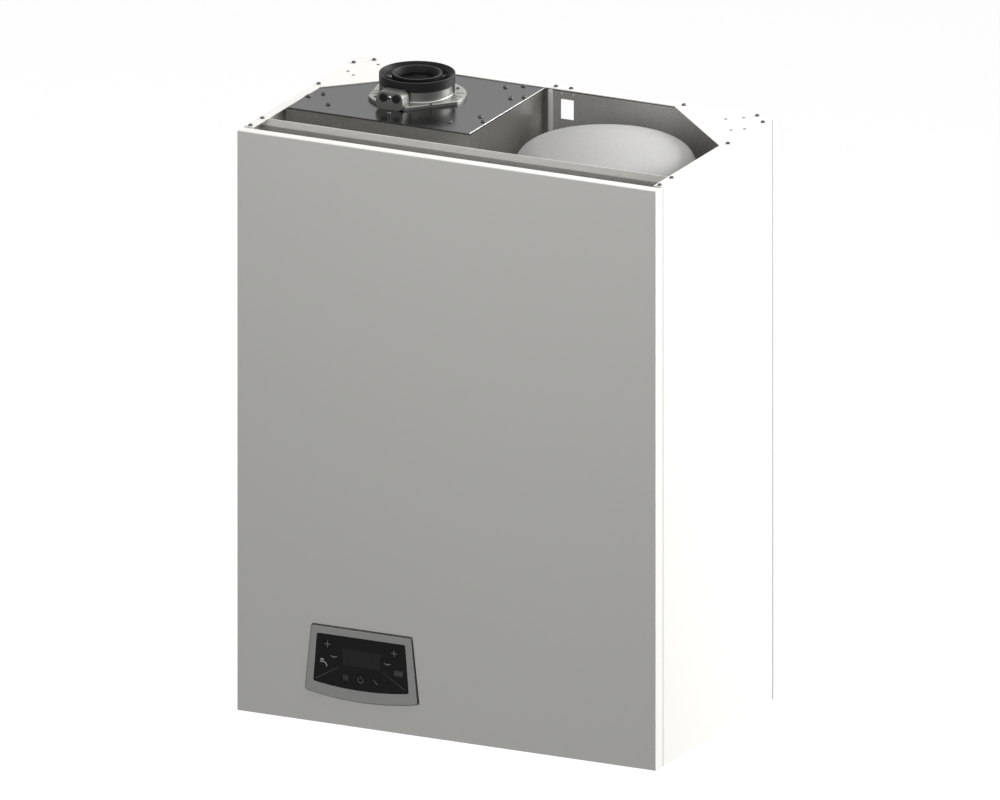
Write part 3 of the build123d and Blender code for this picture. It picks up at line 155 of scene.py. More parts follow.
white_paint, shader, place = material("white_paint")
across, depth = place.part("X"), place.part("Y")
side = across.math("ABSOLUTE").between(0.3438, 0.344, 0.0, 1.0)
# Painted shade in the gaps where each side panel meets the rear frame and the cover.
rear_gap_shade = depth.band(-0.0156, -0.0152, -0.0126, -0.0122) * side
cover_gap_shade = depth.band(-0.3855, -0.3848, -0.3818, -0.3808) * side
clean = place.noise(2.2, 2.0).mix((0.885, 0.88, 0.845), (0.905, 0.9, 0.87))
rear_gap_shade_tone, cover_gap_shade_tone = (0.36, 0.358, 0.345), (0.66, 0.657, 0.632)
feed(
    shader,
    Base_Color=cover_gap_shade.mix(rear_gap_shade.mix(clean, rear_gap_shade_tone), cover_gap_shade_tone),
    Roughness=place.noise(35.0).between(0.3, 0.7, 0.42, 0.5),
    Normal=(place.noise(900.0, 1.0) * 0.7 + place.noise(2400.0, 1.0) * 0.3).bump(0.00005),
)
paint("white_paint", white_paint)

# Galvanised sheet: rear wall, sealed chamber with its door, tank shelf, folded and screwed.
# Faint spangle and rolled grain. The chamber's flat top is painted dark as painted shade, its
# walls are dull with painted light from the foam that grows downwards, and the rear wall is
# painted brighter as painted light.
galvanised, shader, place = material("galvanised")
spangle = place.cells(90.0, "Color").part("X")
grain = place.stretched(1400.0, 1400.0, 300.0).noise(1.0, 2.0)
tone = spangle * 0.25 + grain * 0.1 + place.noise(5.0, 2.0) * 0.65
height = place.part("Z")
shaded_top = height.between(0.8955, 0.8972, 0.0, 1.0)
rear_wall_light = place.part("Y").between(-0.0135, -0.0132, 0.0, 1.0)
bounce_light = height.between(0.83, 0.893, 1.0, 0.0)
shaded_top_tone = tone.mix((0.054, 0.055, 0.055), (0.064, 0.065, 0.065))
rear_wall_light_tone = tone.mix((0.56, 0.55, 0.535), (0.64, 0.63, 0.615))
chamber_wall_with_bounce_light = bounce_light.mix(
    tone.mix((0.19, 0.185, 0.173), (0.225, 0.219, 0.205)),
    tone.mix((0.32, 0.31, 0.29), (0.37, 0.36, 0.338)),
)
feed(
    shader,
    Base_Color=shaded_top.mix(rear_wall_light.mix(chamber_wall_with_bounce_light, rear_wall_light_tone), shaded_top_tone),
    Metallic=shaded_top.math("MAXIMUM", rear_wall_light.between(0.0, 1.0, 0.5, 0.35)),
    Roughness=grain.between(0.25, 0.75, 0.26, 0.31) - shaded_top * 0.08,
    Normal=grain.bump(0.000006),
)
paint("galvanised", galvanised)


# Pan-head screws with a cross recess, 24 on the casing and the chamber and 4 smaller ones on
# the flue adapter. Zinc-plated steel, dark and bright; each stands on the sheet that it holds.
def done(name, mesh, made, body, sharp=35.0):
    """Turns a bmesh in millimetres into a smooth-shaded piece that rides on a body."""
    bmesh.ops.recalc_face_normals(mesh, faces=mesh.faces)
    bmesh.ops.scale(mesh, vec=(0.001, 0.001, 0.001), verts=mesh.verts)
    data = bpy.data.meshes.new(name)
    mesh.to_mesh(data)
    mesh.free()
    data.shade_smooth()
    data.set_sharp_from_angle(angle=radians(sharp))
    data.materials.append(made)
    piece = bpy.data.objects.new(name, data)
    bpy.context.scene.collection.objects.link(piece)
    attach(piece, body)
    return piece


def many(mesh, shape, places):
    """Adds a copy of a finished bmesh at each place."""
    data = bpy.data.meshes.new("pattern")
    shape.to_mesh(data)
    shape.free()
    for place in places:
        before = len(mesh.verts)
        mesh.from_mesh(data)
        mesh.verts.ensure_lookup_table()
        bmesh.ops.transform(mesh, matrix=place, verts=mesh.verts[before:])
    bpy.data.meshes.remove(data)


def cross_head(radius, height, arm, blade, depth):
    """A pan head with its seat at the origin: a grid with a sunk cross, bridged to its rim.

    Arm and blade are the cross's half length and half width, and depth is how far it is sunk.
    """
    head = bmesh.new()
    bmesh.ops.create_grid(head, x_segments=3, y_segments=3, size=1.5)
    corner_reach = 0.7 * arm
    for vert in head.verts:
        corner = abs(vert.co.x) > 1 and abs(vert.co.y) > 1
        for axis in (0, 1):
            reach = corner_reach if corner else arm if abs(vert.co[axis]) > 1 else blade
            vert.co[axis] = reach if vert.co[axis] > 0 else -reach
        vert.co.z = height
    rim = [edge for edge in head.edges if edge.is_boundary]
    cross = [face for face in head.faces if min(map(abs, face.calc_center_median().xy)) < 0.1]
    crown, shoulder = 0.72, 0.93
    circle = bmesh.ops.create_circle(head, segments=24, radius=crown * radius,
                                     matrix=Matrix.Translation((0, 0, height)))
    loop = list({edge for vert in circle["verts"] for edge in vert.link_edges})
    bmesh.ops.bridge_loops(head, edges=rim + loop)
    for scale, drop in ((shoulder / crown, 0.22), (1 / shoulder, 0.33), (1, 0.45)):
        grown = bmesh.ops.extrude_edge_only(head, edges=loop)["geom"]
        verts = [part for part in grown if isinstance(part, bmesh.types.BMVert)]
        edges = [part for part in grown if isinstance(part, bmesh.types.BMEdge)]
        loop = [edge for edge in edges if edge.is_boundary]
        bmesh.ops.scale(head, vec=(scale, scale, 1), verts=verts)
        bmesh.ops.translate(head, vec=(0, 0, -drop * height), verts=verts)
    bmesh.ops.holes_fill(head, edges=loop)
    sunk = bmesh.ops.extrude_face_region(head, geom=cross)["geom"]
    recess = [part for part in sunk if isinstance(part, bmesh.types.BMVert)]
    bmesh.ops.translate(head, vec=(0, 0, -depth), verts=recess)
    leftover = [face for face in cross if face.is_valid]
    bmesh.ops.delete(head, geom=leftover, context="FACES")
    return head


zinc, shader, place = material("zinc_screws")
feed(
    shader,
    Base_Color=place.noise(300.0).mix((0.07, 0.07, 0.072), (0.13, 0.13, 0.13)),
    Metallic=1.0,
    Roughness=place.noise(900.0).between(0.3, 0.7, 0.2, 0.34),
)
paint("zinc_screws", zinc)

casing_top, chamber_top, flange_top = 900.0, 898.8, 904.0
flue_x, flue_y = -182.0, -136.0
side_screw_x, side_screw_ys = 337.5, (-32, -150, -340, -380)
rear_screw_xs, rear_screw_y = (-316, -16, 9, 195, 316), -7
plate_corner_screws = ((144, -208), (129.5, -188), (100, -232))
plate_front_screw_y = -232
plate_rear_screws = ((-36.7, -73), (-52.2, -86), (-62.2, -23), (-83.4, -40))
lug_circle = 64
spots = [(side * side_screw_x, y, casing_top) for side in (-1, 1) for y in side_screw_ys]
spots += [(x, rear_screw_y, casing_top) for x in rear_screw_xs]
spots += [(flue_x + side * x, y, chamber_top) for side in (-1, 1) for x, y in plate_corner_screws]
spots += [(flue_x, plate_front_screw_y, chamber_top)]
spots += [(x, y, chamber_top) for x, y in plate_rear_screws]
lugs = [(flue_x + lug_circle * cos(turn), flue_y + lug_circle * sin(turn), flange_top)
        for turn in (pi / 4, 3 * pi / 4, 5 * pi / 4, 7 * pi / 4)]
screws = bmesh.new()
many(screws, cross_head(radius=3.4, height=2.4, arm=1.9, blade=0.42, depth=1.3),
     [Matrix.Translation(spot) @ Matrix.Rotation(0.7 * number, 4, "Z")
      for number, spot in enumerate(spots)])
many(screws, cross_head(radius=2.5, height=2.0, arm=1.3, blade=0.34, depth=0.9),
     [Matrix.Translation(spot) @ Matrix.Rotation(0.4 + number, 4, "Z")
      for number, spot in enumerate(lugs)])
screw_heads = done("screw_heads", screws, zinc, "boiler", 40)
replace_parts(screw_heads, "casing_screws")


# Bright strip along the right side of the chamber's top plate, part of the plate and slightly
# proud of it; its bright colour is a painted highlight of the plate's edge.
def bar(mesh, low, high, round_off, segments=2):
    """A rounded bar between two corners."""
    made = bmesh.ops.create_cube(mesh, size=1.0)["verts"]
    middle = (Vector(low) + Vector(high)) / 2
    bmesh.ops.scale(mesh, vec=Vector(high) - Vector(low), verts=made)
    bmesh.ops.translate(mesh, vec=middle, verts=made)
    edges = list({edge for vert in made for edge in vert.link_edges})
    bmesh.ops.bevel(mesh, geom=edges, offset=round_off, segments=segments, profile=0.5,
                    affect="EDGES", material=-1)


edge_highlight, shader, place = material("edge_highlight")
feed(
    shader,
    Base_Color=place.noise(400.0).mix((0.72, 0.72, 0.7), (0.86, 0.86, 0.84)),
    Metallic=0.5,
    Roughness=0.35,
)

plate_left, plate_right, plate_front, plate_back = -334.5, -30.0, -270.0, -6.0
edge_inside, edge_proud, edge_round = 0.9, 0.5, 0.3
rim = bmesh.new()
bar(rim, (plate_right - edge_inside, plate_front, chamber_top - edge_inside),
    (plate_right + edge_proud, plate_back, chamber_top + edge_proud), edge_round)
done("plate_edge_highlight", rim, edge_highlight, "boiler")

# Rounded upright that closes the chamber's rear right corner, in very light zinc, which is a
# painted highlight of the bend. It stands on the rear wall's face, close beside the chamber,
# and is held by the wall.
bend_highlight_zinc, shader, place = material("bend_highlight_zinc")
feed(
    shader,
    Base_Color=place.noise(300.0).mix((0.84, 0.83, 0.805), (0.9, 0.89, 0.865)),
    Metallic=0.1,
    Roughness=0.3,
)

upright_low, upright_high, upright_round = (-25.0, -17.4, 380.0), (-16.6, -13.2, 897.6), 1.9
upright = bmesh.new()
bar(upright, upright_low, upright_high, upright_round, segments=5)
done("chamber_upright", upright, bend_highlight_zinc, "boiler")

# Cast aluminium: flue adapter and tube, burner door, duct, fan housing and gas valve, bolted
# on. Gritty skin, mottled dark; the flat top of the adapter's flange is painted lighter, as
# painted light from above.
cast, shader, place = material("cast_aluminium")
grit = place.noise(1600.0, 4.0, 0.7)
flange_top_light = (place.part("Z").band(0.9036, 0.9039, 0.9048, 0.9062)
               * place.part("Y").between(-0.2134, -0.2126, 0.0, 1.0))
mottle = place.noise(24.0, 4.0)
feed(
    shader,
    Base_Color=flange_top_light.mix(
        mottle.mix((0.15, 0.15, 0.144), (0.22, 0.22, 0.21)),
        mottle.mix((0.36, 0.36, 0.345), (0.46, 0.46, 0.44)),
    ),
    Metallic=0.9,
    Roughness=grit.between(0.3, 0.7, 0.34, 0.5),
    Normal=grit.bump(0.00012),
)
paint("cast_aluminium", cast)


# Cast details of the flue adapter, all in one piece with it: a cove at the neck's foot, a fin
# on either side of the neck, low ribs on the two lobes, and three pads in the air gap between
# the neck and the inner tube.
def turned(mesh, profile, centre, steps=96):
    """Spins a closed outline of radius and height round an upright axis."""
    x, y = centre
    corners = [mesh.verts.new((x + radius, y, height)) for radius, height in profile]
    edges = [mesh.edges.new(pair) for pair in zip(corners, corners[1:] + corners[:1])]
    bmesh.ops.spin(mesh, geom=corners + edges, cent=(x, y, 0), axis=(0, 0, 1),
                   angle=2 * pi, steps=steps, use_merge=True)


def around(degrees, radius, height):
    """A place at a radius from the flue's axis, turned to face outwards."""
    return (Matrix.Translation((flue_x, flue_y, height)) @ Matrix.Rotation(radians(degrees), 4, "Z")
            @ Matrix.Translation((radius, 0, 0)))


neck_radius, cove_reach, cove_radius, cove_top, hair = 52.5, 2.2, 2.1, 2.4, 0.02
cove = [(neck_radius + hair, flange_top), (neck_radius + cove_reach, flange_top + hair)]
cove += [(neck_radius + cove_reach - cove_radius * sin(turn),
          flange_top + cove_reach - cove_radius * cos(turn)) for turn in (0.25, 0.6, 0.95, 1.3)]
cove += [(neck_radius + hair, flange_top + cove_top)]
details = bmesh.new()
turned(details, cove, (flue_x, flue_y))

rib_circle, rib_width, rib_height, rib_round = 63.5, 1.1, 1.0, 0.25
rib_lengths = {-2: 11.0, 10: 12.0, 24: 12.0, 45: 9.0, 196: 12.0, 208: 12.0, 222: 9.0}
for degrees, length in rib_lengths.items():
    rib = bmesh.new()
    bar(rib, (-length / 2, -rib_width / 2, 0), (length / 2, rib_width / 2, rib_height), rib_round)
    many(details, rib, [around(degrees, rib_circle, flange_top)])

pad_low, pad_high, pad_round = (38.5, -4.0, 915.0), (49.95, 4.0, 923.5), 0.7
for degrees in (58, 178, 298):
    pad = bmesh.new()
    bar(pad, pad_low, pad_high, pad_round)
    many(details, pad, [around(degrees, 0, 0)])

fin_out, fin_width, fin_height, fin_round = 4.2, 3.2, 17.5, 0.9
fin_sunk, fin_foot_sunk = 0.3, 0.1
for degrees in (26.1, 206.1):
    fin = bmesh.new()
    bar(fin, (0, -fin_width / 2, 0), (fin_out, fin_width / 2, fin_height), fin_round, segments=3)
    many(details, fin, [around(degrees, neck_radius - fin_sunk, flange_top - fin_foot_sunk)])
done("adapter_castings", details, cast, "boiler", 40)

# Cross-headed screw between the two test points, bright zinc. It faces forwards and closes
# the housing that is cast on the adapter.
bright_zinc, shader, place = material("bright_zinc")
feed(
    shader,
    Base_Color=place.noise(300.0).mix((0.55, 0.56, 0.57), (0.72, 0.72, 0.7)),
    Metallic=1.0,
    Roughness=place.noise(900.0).between(0.3, 0.7, 0.12, 0.22),
)

housing_screw_spot = (-188.0, -216.0, 917.4)
housing_screw = bmesh.new()
many(housing_screw, cross_head(radius=2.9, height=1.8, arm=1.8, blade=0.5, depth=1.0),
     [Matrix.Translation(housing_screw_spot) @ Matrix.Rotation(pi / 2, 4, "X")
      @ Matrix.Rotation(0.5, 4, "Z")])
done("test_housing_screw", housing_screw, bright_zinc, "boiler", 40)

# Black rubber: the plugs in the two test points, and a black strip under the front edge of the
# chamber's top plate, which is painted shade in the gap at that edge.
rubber, shader, place = material("black_rubber")
feed(
    shader,
    Base_Color=place.noise(60.0).mix((0.008, 0.008, 0.008), (0.014, 0.014, 0.0137)),
    Specular_IOR_Level=0.2,
    Roughness=place.noise(500.0).between(0.3, 0.7, 0.42, 0.56),
    Normal=place.noise(2500.0, 2.0).bump(0.00004),
)
paint("black_rubber", rubber)

# Painted shade: a black strip along the gap under the front edge of the chamber's top plate.
edge_shade_foot, edge_shade_top, edge_shade_round = 896.9, 898.9, 0.3
edge_shade_out, edge_shade_in, edge_shade_short = 0.4, 0.5, 0.5
edge_shade = bmesh.new()
bar(edge_shade, (plate_left, plate_front - edge_shade_out, edge_shade_foot),
    (plate_right - edge_shade_short, plate_front + edge_shade_in, edge_shade_top), edge_shade_round)
done("plate_edge_shade", edge_shade, rubber, "boiler")

# Ring gasket round the adapter's socket, in rubber. It is pushed over the neck, and the lips
# inside its mouth step down to the outer pipe's bore.
ring_profile = [
    (53.0, 921.2), (53.4, 920.8), (56.3, 920.8), (56.8, 921.3), (56.8, 935.3), (56.2, 936.0),
    (54.6, 936.0), (54.2, 934.7), (53.4, 934.5), (52.9, 932.9), (52.1, 932.7), (51.6, 931.2),
    (50.7, 931.0), (50.4, 930.4), (52.95, 930.3),
]
outer_ring = bmesh.new()
turned(outer_ring, ring_profile, (flue_x, flue_y))
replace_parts(done("flue_ring", outer_ring, rubber, "boiler", 25), "flue_ring_gasket")

# Lip seal in the mouth of the inner flue tube, in rubber. It is clipped over the tube's end,
# and its lips step down to the bore that grips the inner pipe.
inner_profile = [
    (32.2, 918.2), (37.1, 918.0), (37.5, 918.5), (37.5, 935.4), (37.0, 936.0), (34.4, 936.0),
    (33.9, 934.6), (33.0, 934.3), (32.5, 932.3), (31.7, 932.1), (31.2, 930.0), (30.3, 929.8),
    (29.9, 927.6), (29.3, 927.3), (29.3, 922.6), (30.25, 922.5), (30.3, 928.2), (32.2, 928.3),
]
inner_ring = bmesh.new()
turned(inner_ring, inner_profile, (flue_x, flue_y))
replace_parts(done("flue_inner_seal", inner_ring, rubber, "boiler", 25),
            "inner_gasket")

# Rubber grommets that close the five holes in the bottom plate round the copper tails. Each
# holds itself on the hole's edge by a groove and grips its tail with a thin lip.
tail_xs, tail_y = (-132.0, -66.0, 0.0, 66.0, 132.0), -130.0
grommet_profile = [
    (9.2, -0.4), (14.6, -0.4), (15.4, 0.3), (15.4, 1.15), (12.8, 1.2), (12.8, 2.4),
    (15.4, 2.45), (15.4, 3.1), (14.6, 3.8), (11.4, 4.3), (10.0, 6.4), (9.2, 6.4),
]
grommets = bmesh.new()
for x in tail_xs:
    turned(grommets, grommet_profile, (x, tail_y), steps=48)
done("tail_grommets", grommets, rubber, "boiler")

# Black plastic: fan wheel and motor, diverter drive and cable gland. Moulded, with a fine
# grain; clipped or screwed to the parts that carry them.
black_plastic, shader, place = material("black_plastic")
feed(
    shader,
    Base_Color=place.noise(80.0).mix((0.02, 0.02, 0.021), (0.034, 0.034, 0.035)),
    Roughness=place.noise(700.0).between(0.3, 0.7, 0.38, 0.52),
    Normal=place.noise(3200.0, 2.0).bump(0.00005),
)
paint("black_plastic", black_plastic)

# Stainless steel: exchanger, burner, tank, plate exchanger, spindle and rotor. Brushed, with
# the strokes running level round the parts; welded and flanged.
stainless, shader, place = material("stainless")
brush = place.stretched(20.0, 20.0, 1600.0).noise(1.0, 3.0)
feed(
    shader,
    Base_Color=brush.mix((0.44, 0.44, 0.43), (0.58, 0.58, 0.56)),
    Metallic=1.0,
    Roughness=brush.between(0.3, 0.7, 0.22, 0.36),
    Normal=brush.bump(0.00002),
)
paint("stainless", stainless)

# Glazed ceramic sleeves of the two electrodes, which pass through the burner door and are
# screwed to it.
ceramic, shader, place = material("ceramic")
feed(
    shader,
    Base_Color=place.noise(90.0).mix((0.8, 0.77, 0.7), (0.88, 0.86, 0.8)),
    Roughness=place.noise(400.0).between(0.3, 0.7, 0.18, 0.3),
    Coat_Weight=0.4,
)
paint("ceramic", ceramic)

# Drawn copper pipes and the tails below the bottom plate, with a little brown oxide. Bent,
# and held by their nuts.
copper, shader, place = material("copper_pipe")
oxide = place.noise(30.0, 5.0, 0.6)
feed(
    shader,
    Base_Color=oxide.mix((0.42, 0.2, 0.12), (0.72, 0.38, 0.24)),
    Metallic=1.0,
    Roughness=oxide.between(0.3, 0.7, 0.36, 0.22),
    Normal=place.noise(1200.0).bump(0.00003),
)
paint("copper_pipe", copper)

# Hot-pressed brass: the two blocks that carry the water parts, the diverter's body and the
# safety valve. Dull, sandy skin.
brass, shader, place = material("brass")
skin = place.noise(900.0, 3.0, 0.6)
feed(
    shader,
    Base_Color=place.noise(40.0, 4.0).mix((0.44, 0.32, 0.14), (0.62, 0.47, 0.22)),
    Metallic=1.0,
    Roughness=skin.between(0.3, 0.7, 0.28, 0.42),
    Normal=skin.bump(0.00008),
)
paint("brass", brass)

# White foam moulded round the tank, which stands with it on the shelf. Fused beads, each one
# a low pillow; the foam is painted greyer to the left and lower down as painted shade, and
# lighter to the right and at the top as painted light.
foam, shader, place = material("white_foam")
beads = place.cells(260.0, feature="SMOOTH_F1")
bead_tones = place.cells(260.0, "Color").part("X")
foam_top_light = place.part("Z").between(0.85, 0.893, 0.0, 0.4)
foam_right_light = place.part("X").between(0.06, 0.27, 0.0, 0.6)
feed(
    shader,
    Base_Color=((foam_top_light + foam_right_light) * 0.9 + bead_tones * 0.1).mix(
        (0.28, 0.278, 0.271), (0.56, 0.557, 0.545)
    ),
    Roughness=beads.between(0.0, 0.6, 0.72, 0.86),
    Normal=(beads * -1.0).bump(0.00025, 0.5),
)
paint("white_foam", foam)

# Cast iron of the pump's body, which is bolted to its brass block. Dipped in dark paint, with
# the sand of the mould showing through.
iron, shader, place = material("cast_iron")
sand = place.noise(1100.0, 5.0, 0.7)
feed(
    shader,
    Base_Color=place.noise(30.0).mix((0.03, 0.031, 0.033), (0.055, 0.056, 0.058)),
    Metallic=0.3,
    Roughness=sand.between(0.3, 0.7, 0.45, 0.62),
    Normal=sand.bump(0.0002),
)
paint("cast_iron", iron)

# Dark blue-grey paint of the pump's motor, sprayed on its aluminium shell. The motor is
# flanged to the pump's body.
pump_paint, shader, place = material("pump_paint")
feed(
    shader,
    Base_Color=place.noise(25.0).mix((0.016, 0.02, 0.023), (0.028, 0.034, 0.038)),
    Roughness=place.noise(600.0).between(0.3, 0.7, 0.3, 0.42),
    Normal=place.noise(1500.0).bump(0.00004),
)
paint("pump_paint", pump_paint)

# Red paint of the expansion vessel, a flat drum of pressed steel on the rear wall. Glossy
# over slightly uneven steel.
vessel_paint, shader, place = material("vessel_paint")
feed(
    shader,
    Base_Color=place.noise(12.0).mix((0.3, 0.02, 0.012), (0.4, 0.03, 0.02)),
    Roughness=place.noise(300.0).between(0.3, 0.7, 0.3, 0.44),
    Coat_Weight=0.3,
    Normal=place.noise(1000.0).bump(0.00005),
)
paint("vessel_paint", vessel_paint)

# Red plastic of the safety valve's knob, moulded smooth and snapped on the valve's stem.
# Brighter than the vessel's paint.
red_plastic, shader, place = material("red_plastic")
feed(
    shader,
    Base_Color=place.noise(50.0).mix((0.5, 0.016, 0.012), (0.62, 0.026, 0.02)),
    Roughness=place.noise(800.0).between(0.3, 0.7, 0.26, 0.38),
)
paint("red_plastic", red_plastic)

# Grey plastic: the control box behind the cover, and the condensate trap with its hose.
# Moulded, with a fine grain.
grey_plastic, shader, place = material("grey_plastic")
feed(
    shader,
    Base_Color=place.noise(40.0).mix((0.1, 0.104, 0.106), (0.135, 0.139, 0.14)),
    Roughness=place.noise(900.0).between(0.3, 0.7, 0.42, 0.56),
    Normal=place.noise(2600.0, 2.0).bump(0.00006),
)
paint("grey_plastic", grey_plastic)

# Control board inside the box, screwed to its floor. Green solder mask, with lighter tracks
# along the edges of stretched square cells.
board, shader, place = material("circuit_board")
tracks = place.stretched(1.0, 0.1, 1.0).cells(
    180.0, feature="DISTANCE_TO_EDGE", distance="CHEBYCHEV"
).between(0.02, 0.06, 1.0, 0.0)
feed(
    shader,
    Base_Color=tracks.mix((0.012, 0.08, 0.035), (0.03, 0.17, 0.08)),
    Roughness=place.noise(500.0).between(0.3, 0.7, 0.24, 0.38),
)
paint("circuit_board", board)

# Bezel in the cover's window, satin silver plastic. It is clipped on the control box, so it
# stays there when the cover comes off.
silver, shader, place = material("silver_plastic")
feed(
    shader,
    Base_Color=place.noise(20.0).mix((0.31, 0.31, 0.302), (0.345, 0.345, 0.336)),
    Metallic=0.25,
    Roughness=place.noise(900.0).between(0.3, 0.7, 0.36, 0.46),
    Normal=place.noise(3000.0, 2.0).bump(0.00004),
)
paint("silver_plastic", silver)

# Fascia and its seven keys, glossy black plastic with weak reflections. The fascia is glued
# in the bezel, and each key sits in its own opening.
black_gloss, shader, place = material("black_gloss")
feed(
    shader,
    Base_Color=place.noise(15.0).mix((0.008, 0.008, 0.0075), (0.012, 0.012, 0.0115)),
    Specular_IOR_Level=0.1,
    Roughness=place.noise(60.0).between(0.3, 0.7, 0.3, 0.42),
)
paint("black_gloss", black_gloss)

# Smoked window of the display, set flush in the fascia. A little greyer than the gloss round
# it, as the display is off.
display_glass, shader, place = material("display_glass")
feed(
    shader,
    Base_Color=place.noise(12.0).mix((0.021, 0.021, 0.0215), (0.025, 0.025, 0.026)),
    Specular_IOR_Level=0.12,
    Roughness=place.noise(90.0).between(0.3, 0.7, 0.24, 0.34),
)
paint("display_glass", display_glass)

# Strip of dark grey along the front of the top rail, as long as the rail: painted shadow
# that the cover's fold casts on the rail.
fold_shadow_grey, shader, place = material("fold_shadow_grey")
feed(
    shader,
    Base_Color=place.noise(700.0).mix((0.3, 0.298, 0.285), (0.4, 0.397, 0.38)),
    Roughness=0.9,
    Normal=place.noise(1500.0, 2.0).bump(0.0001),
)

rail_front, strip_half, strip_foot, strip_top = -334.0, 343.0, 874.0, 888.4
strip_out, strip_off, strip_round = 2.4, 0.05, 0.8
fold_shadow = bmesh.new()
bar(fold_shadow, (-strip_half, rail_front - strip_out, strip_foot),
    (strip_half, rail_front - strip_off, strip_top), strip_round)
done("rail_fold_shadow", fold_shadow, fold_shadow_grey, "boiler")

# Signs printed on the panel in thin grey ink: plus and minus for water and heating, a tap, a
# radiator, a book, a ring and a spanner. A sign that lies on a key moves with the key.
ink, shader, place = material("ink")
feed(
    shader,
    Base_Color=place.noise(500.0).mix((0.2, 0.2, 0.195), (0.26, 0.26, 0.25)),
    Roughness=0.5,
)
bright_ink, shader, place = material("bright_ink")
feed(
    shader,
    Base_Color=place.noise(500.0).mix((0.4, 0.4, 0.385), (0.5, 0.5, 0.48)),
    Roughness=0.5,
)
faint_ink, shader, place = material("faint_ink")
feed(
    shader,
    Base_Color=place.noise(500.0).mix((0.07, 0.07, 0.068), (0.1, 0.1, 0.097)),
    Roughness=0.5,
)
fascia_face, cover_face = -411.56, -410.1


def stroke(mesh, points, widths, closed=False, face=fascia_face):
    """A flat band along points of the panel's plane, x and z in mm, with its own widths."""
    spots = [Vector(p) for p in points]
    if isinstance(widths, (int, float)):
        widths = [widths] * len(spots)
    left, right = [], []
    for number, spot in enumerate(spots):
        before = spots[number - 1] if number or closed else spot
        after = spots[(number + 1) % len(spots)] if number < len(spots) - 1 or closed else spot
        along = (after - before).normalized()
        across = Vector((-along.y, along.x)) * widths[number] / 2
        for side, row in ((1, left), (-1, right)):
            x, z = spot + across * side
            row.append(mesh.verts.new((x, face, z)))
    last = len(spots) if closed else len(spots) - 1
    for number in range(last):
        after = (number + 1) % len(spots)
        mesh.faces.new((left[number], left[after], right[after], right[number]))


def printed(name, mesh, made, body):
    """Gives flat bands a hair of thickness and makes them a piece."""
    bmesh.ops.recalc_face_normals(mesh, faces=mesh.faces)
    bmesh.ops.solidify(mesh, geom=mesh.faces[:], thickness=0.04)
    return done(name, mesh, made, body)


def arc(centre, radius, start, end, steps):
    """Points along an arc, from one angle to another in degrees."""
    turns = [radians(start + (end - start) * k / steps) for k in range(steps + 1)]
    return [(centre[0] + radius * cos(a), centre[1] + radius * sin(a)) for a in turns]


for key, x, z in (("key_water_plus", -195.2, 123.7), ("key_heat_plus", -85.3, 123.7)):
    plus = bmesh.new()
    stroke(plus, [(x - 5.2, z), (x, z), (x + 5.2, z)], [0.7, 1.5, 0.7])
    stroke(plus, [(x, z - 5.4), (x, z), (x, z + 5.4)], [0.7, 1.4, 0.7])
    printed(key + "_sign", plus, ink, key)

bow_steps = 14
for key, x, z in (("key_water_minus", -184.6, 106.5), ("key_heat_minus", -96.5, 106.5)):
    minus = bmesh.new()
    stroke(minus, arc((x, z + 9.0), 10.5, 235, 305, bow_steps),
           [0.5 + 1.4 * sin(pi * k / bow_steps) for k in range(bow_steps + 1)])
    printed(key + "_sign", minus, ink, key)

tap = bmesh.new()
stroke(tap, [(-206.8, 98.2), (-203.6, 99.6), (-201.0, 98.4)], [2.2, 3.6, 2.4])
stroke(tap, [(-207.2, 95.6), (-202.0, 95.8), (-198.4, 94.4), (-196.6, 91.6), (-196.4, 88.6)],
       [2.0, 2.0, 2.1, 1.9, 1.7])
printed("tap_sign", tap, bright_ink, "boiler")

radiator = bmesh.new()
for column in range(5):
    x = -84.2 + column * 3.0
    stroke(radiator, [(x, 89.4), (x, 97.4)], 1.9)
for z in (91.0, 95.8):
    stroke(radiator, [(-85.4, z), (-71.0, z)], 0.8)
printed("radiator_sign", radiator, faint_ink, "boiler")

book = bmesh.new()
stroke(book, [(-168.4, 79.6), (-162.0, 79.6), (-161.8, 71.8), (-168.0, 71.8)], 1.0, True)
stroke(book, [(-166.2, 77.4), (-164.2, 77.4), (-164.2, 74.0), (-166.2, 74.0)], 0.9, True)
printed("key_book_sign", book, faint_ink, "key_book")

ring_steps = 28
ring = bmesh.new()
stroke(ring, arc((-140.6, 75.0), 4.4, 120, 420, ring_steps),
       [0.8 + 0.6 * sin(pi * k / ring_steps) for k in range(ring_steps + 1)])
stroke(ring, [(-140.6, 76.6), (-140.6, 81.0)], 1.0)
printed("key_power_sign", ring, faint_ink, "key_power")

spanner = bmesh.new()
stroke(spanner, [(-117.2, 76.6), (-115.6, 74.6), (-112.6, 71.2)], [1.7, 1.9, 2.1])
stroke(spanner, arc((-118.0, 77.5), 1.6, 150, 330, 12), 0.9)
printed("key_spanner_sign", spanner, faint_ink, "key_spanner")

# Dark band along the top and the right of the cover's window: painted shadow in the gap
# between the opening and the bezel. It rides on the cover, so it comes off with the cover.
opening_shadow = bmesh.new()
stroke(opening_shadow, [(-221.0, 152.4), (-55.9, 152.4), (-44.7, 49.4)], [0.9, 1.2, 1.3],
       face=cover_face)
printed("cover_opening_shadow", opening_shadow, black_gloss, "cover")

# Two lines printed in faint ink on the fascia, from its lower corners up towards the display.
# They taper as they rise.
panel_lines = bmesh.new()
stroke(panel_lines, [(-215.0, 68.3), (-196.0, 79.2), (-176.9, 90.3)], [0.9, 0.7, 0.35])
stroke(panel_lines, [(-105.8, 92.7), (-86.0, 80.8), (-66.4, 69.0)], [0.35, 0.6, 0.7])
printed("panel_lines", panel_lines, faint_ink, "boiler")

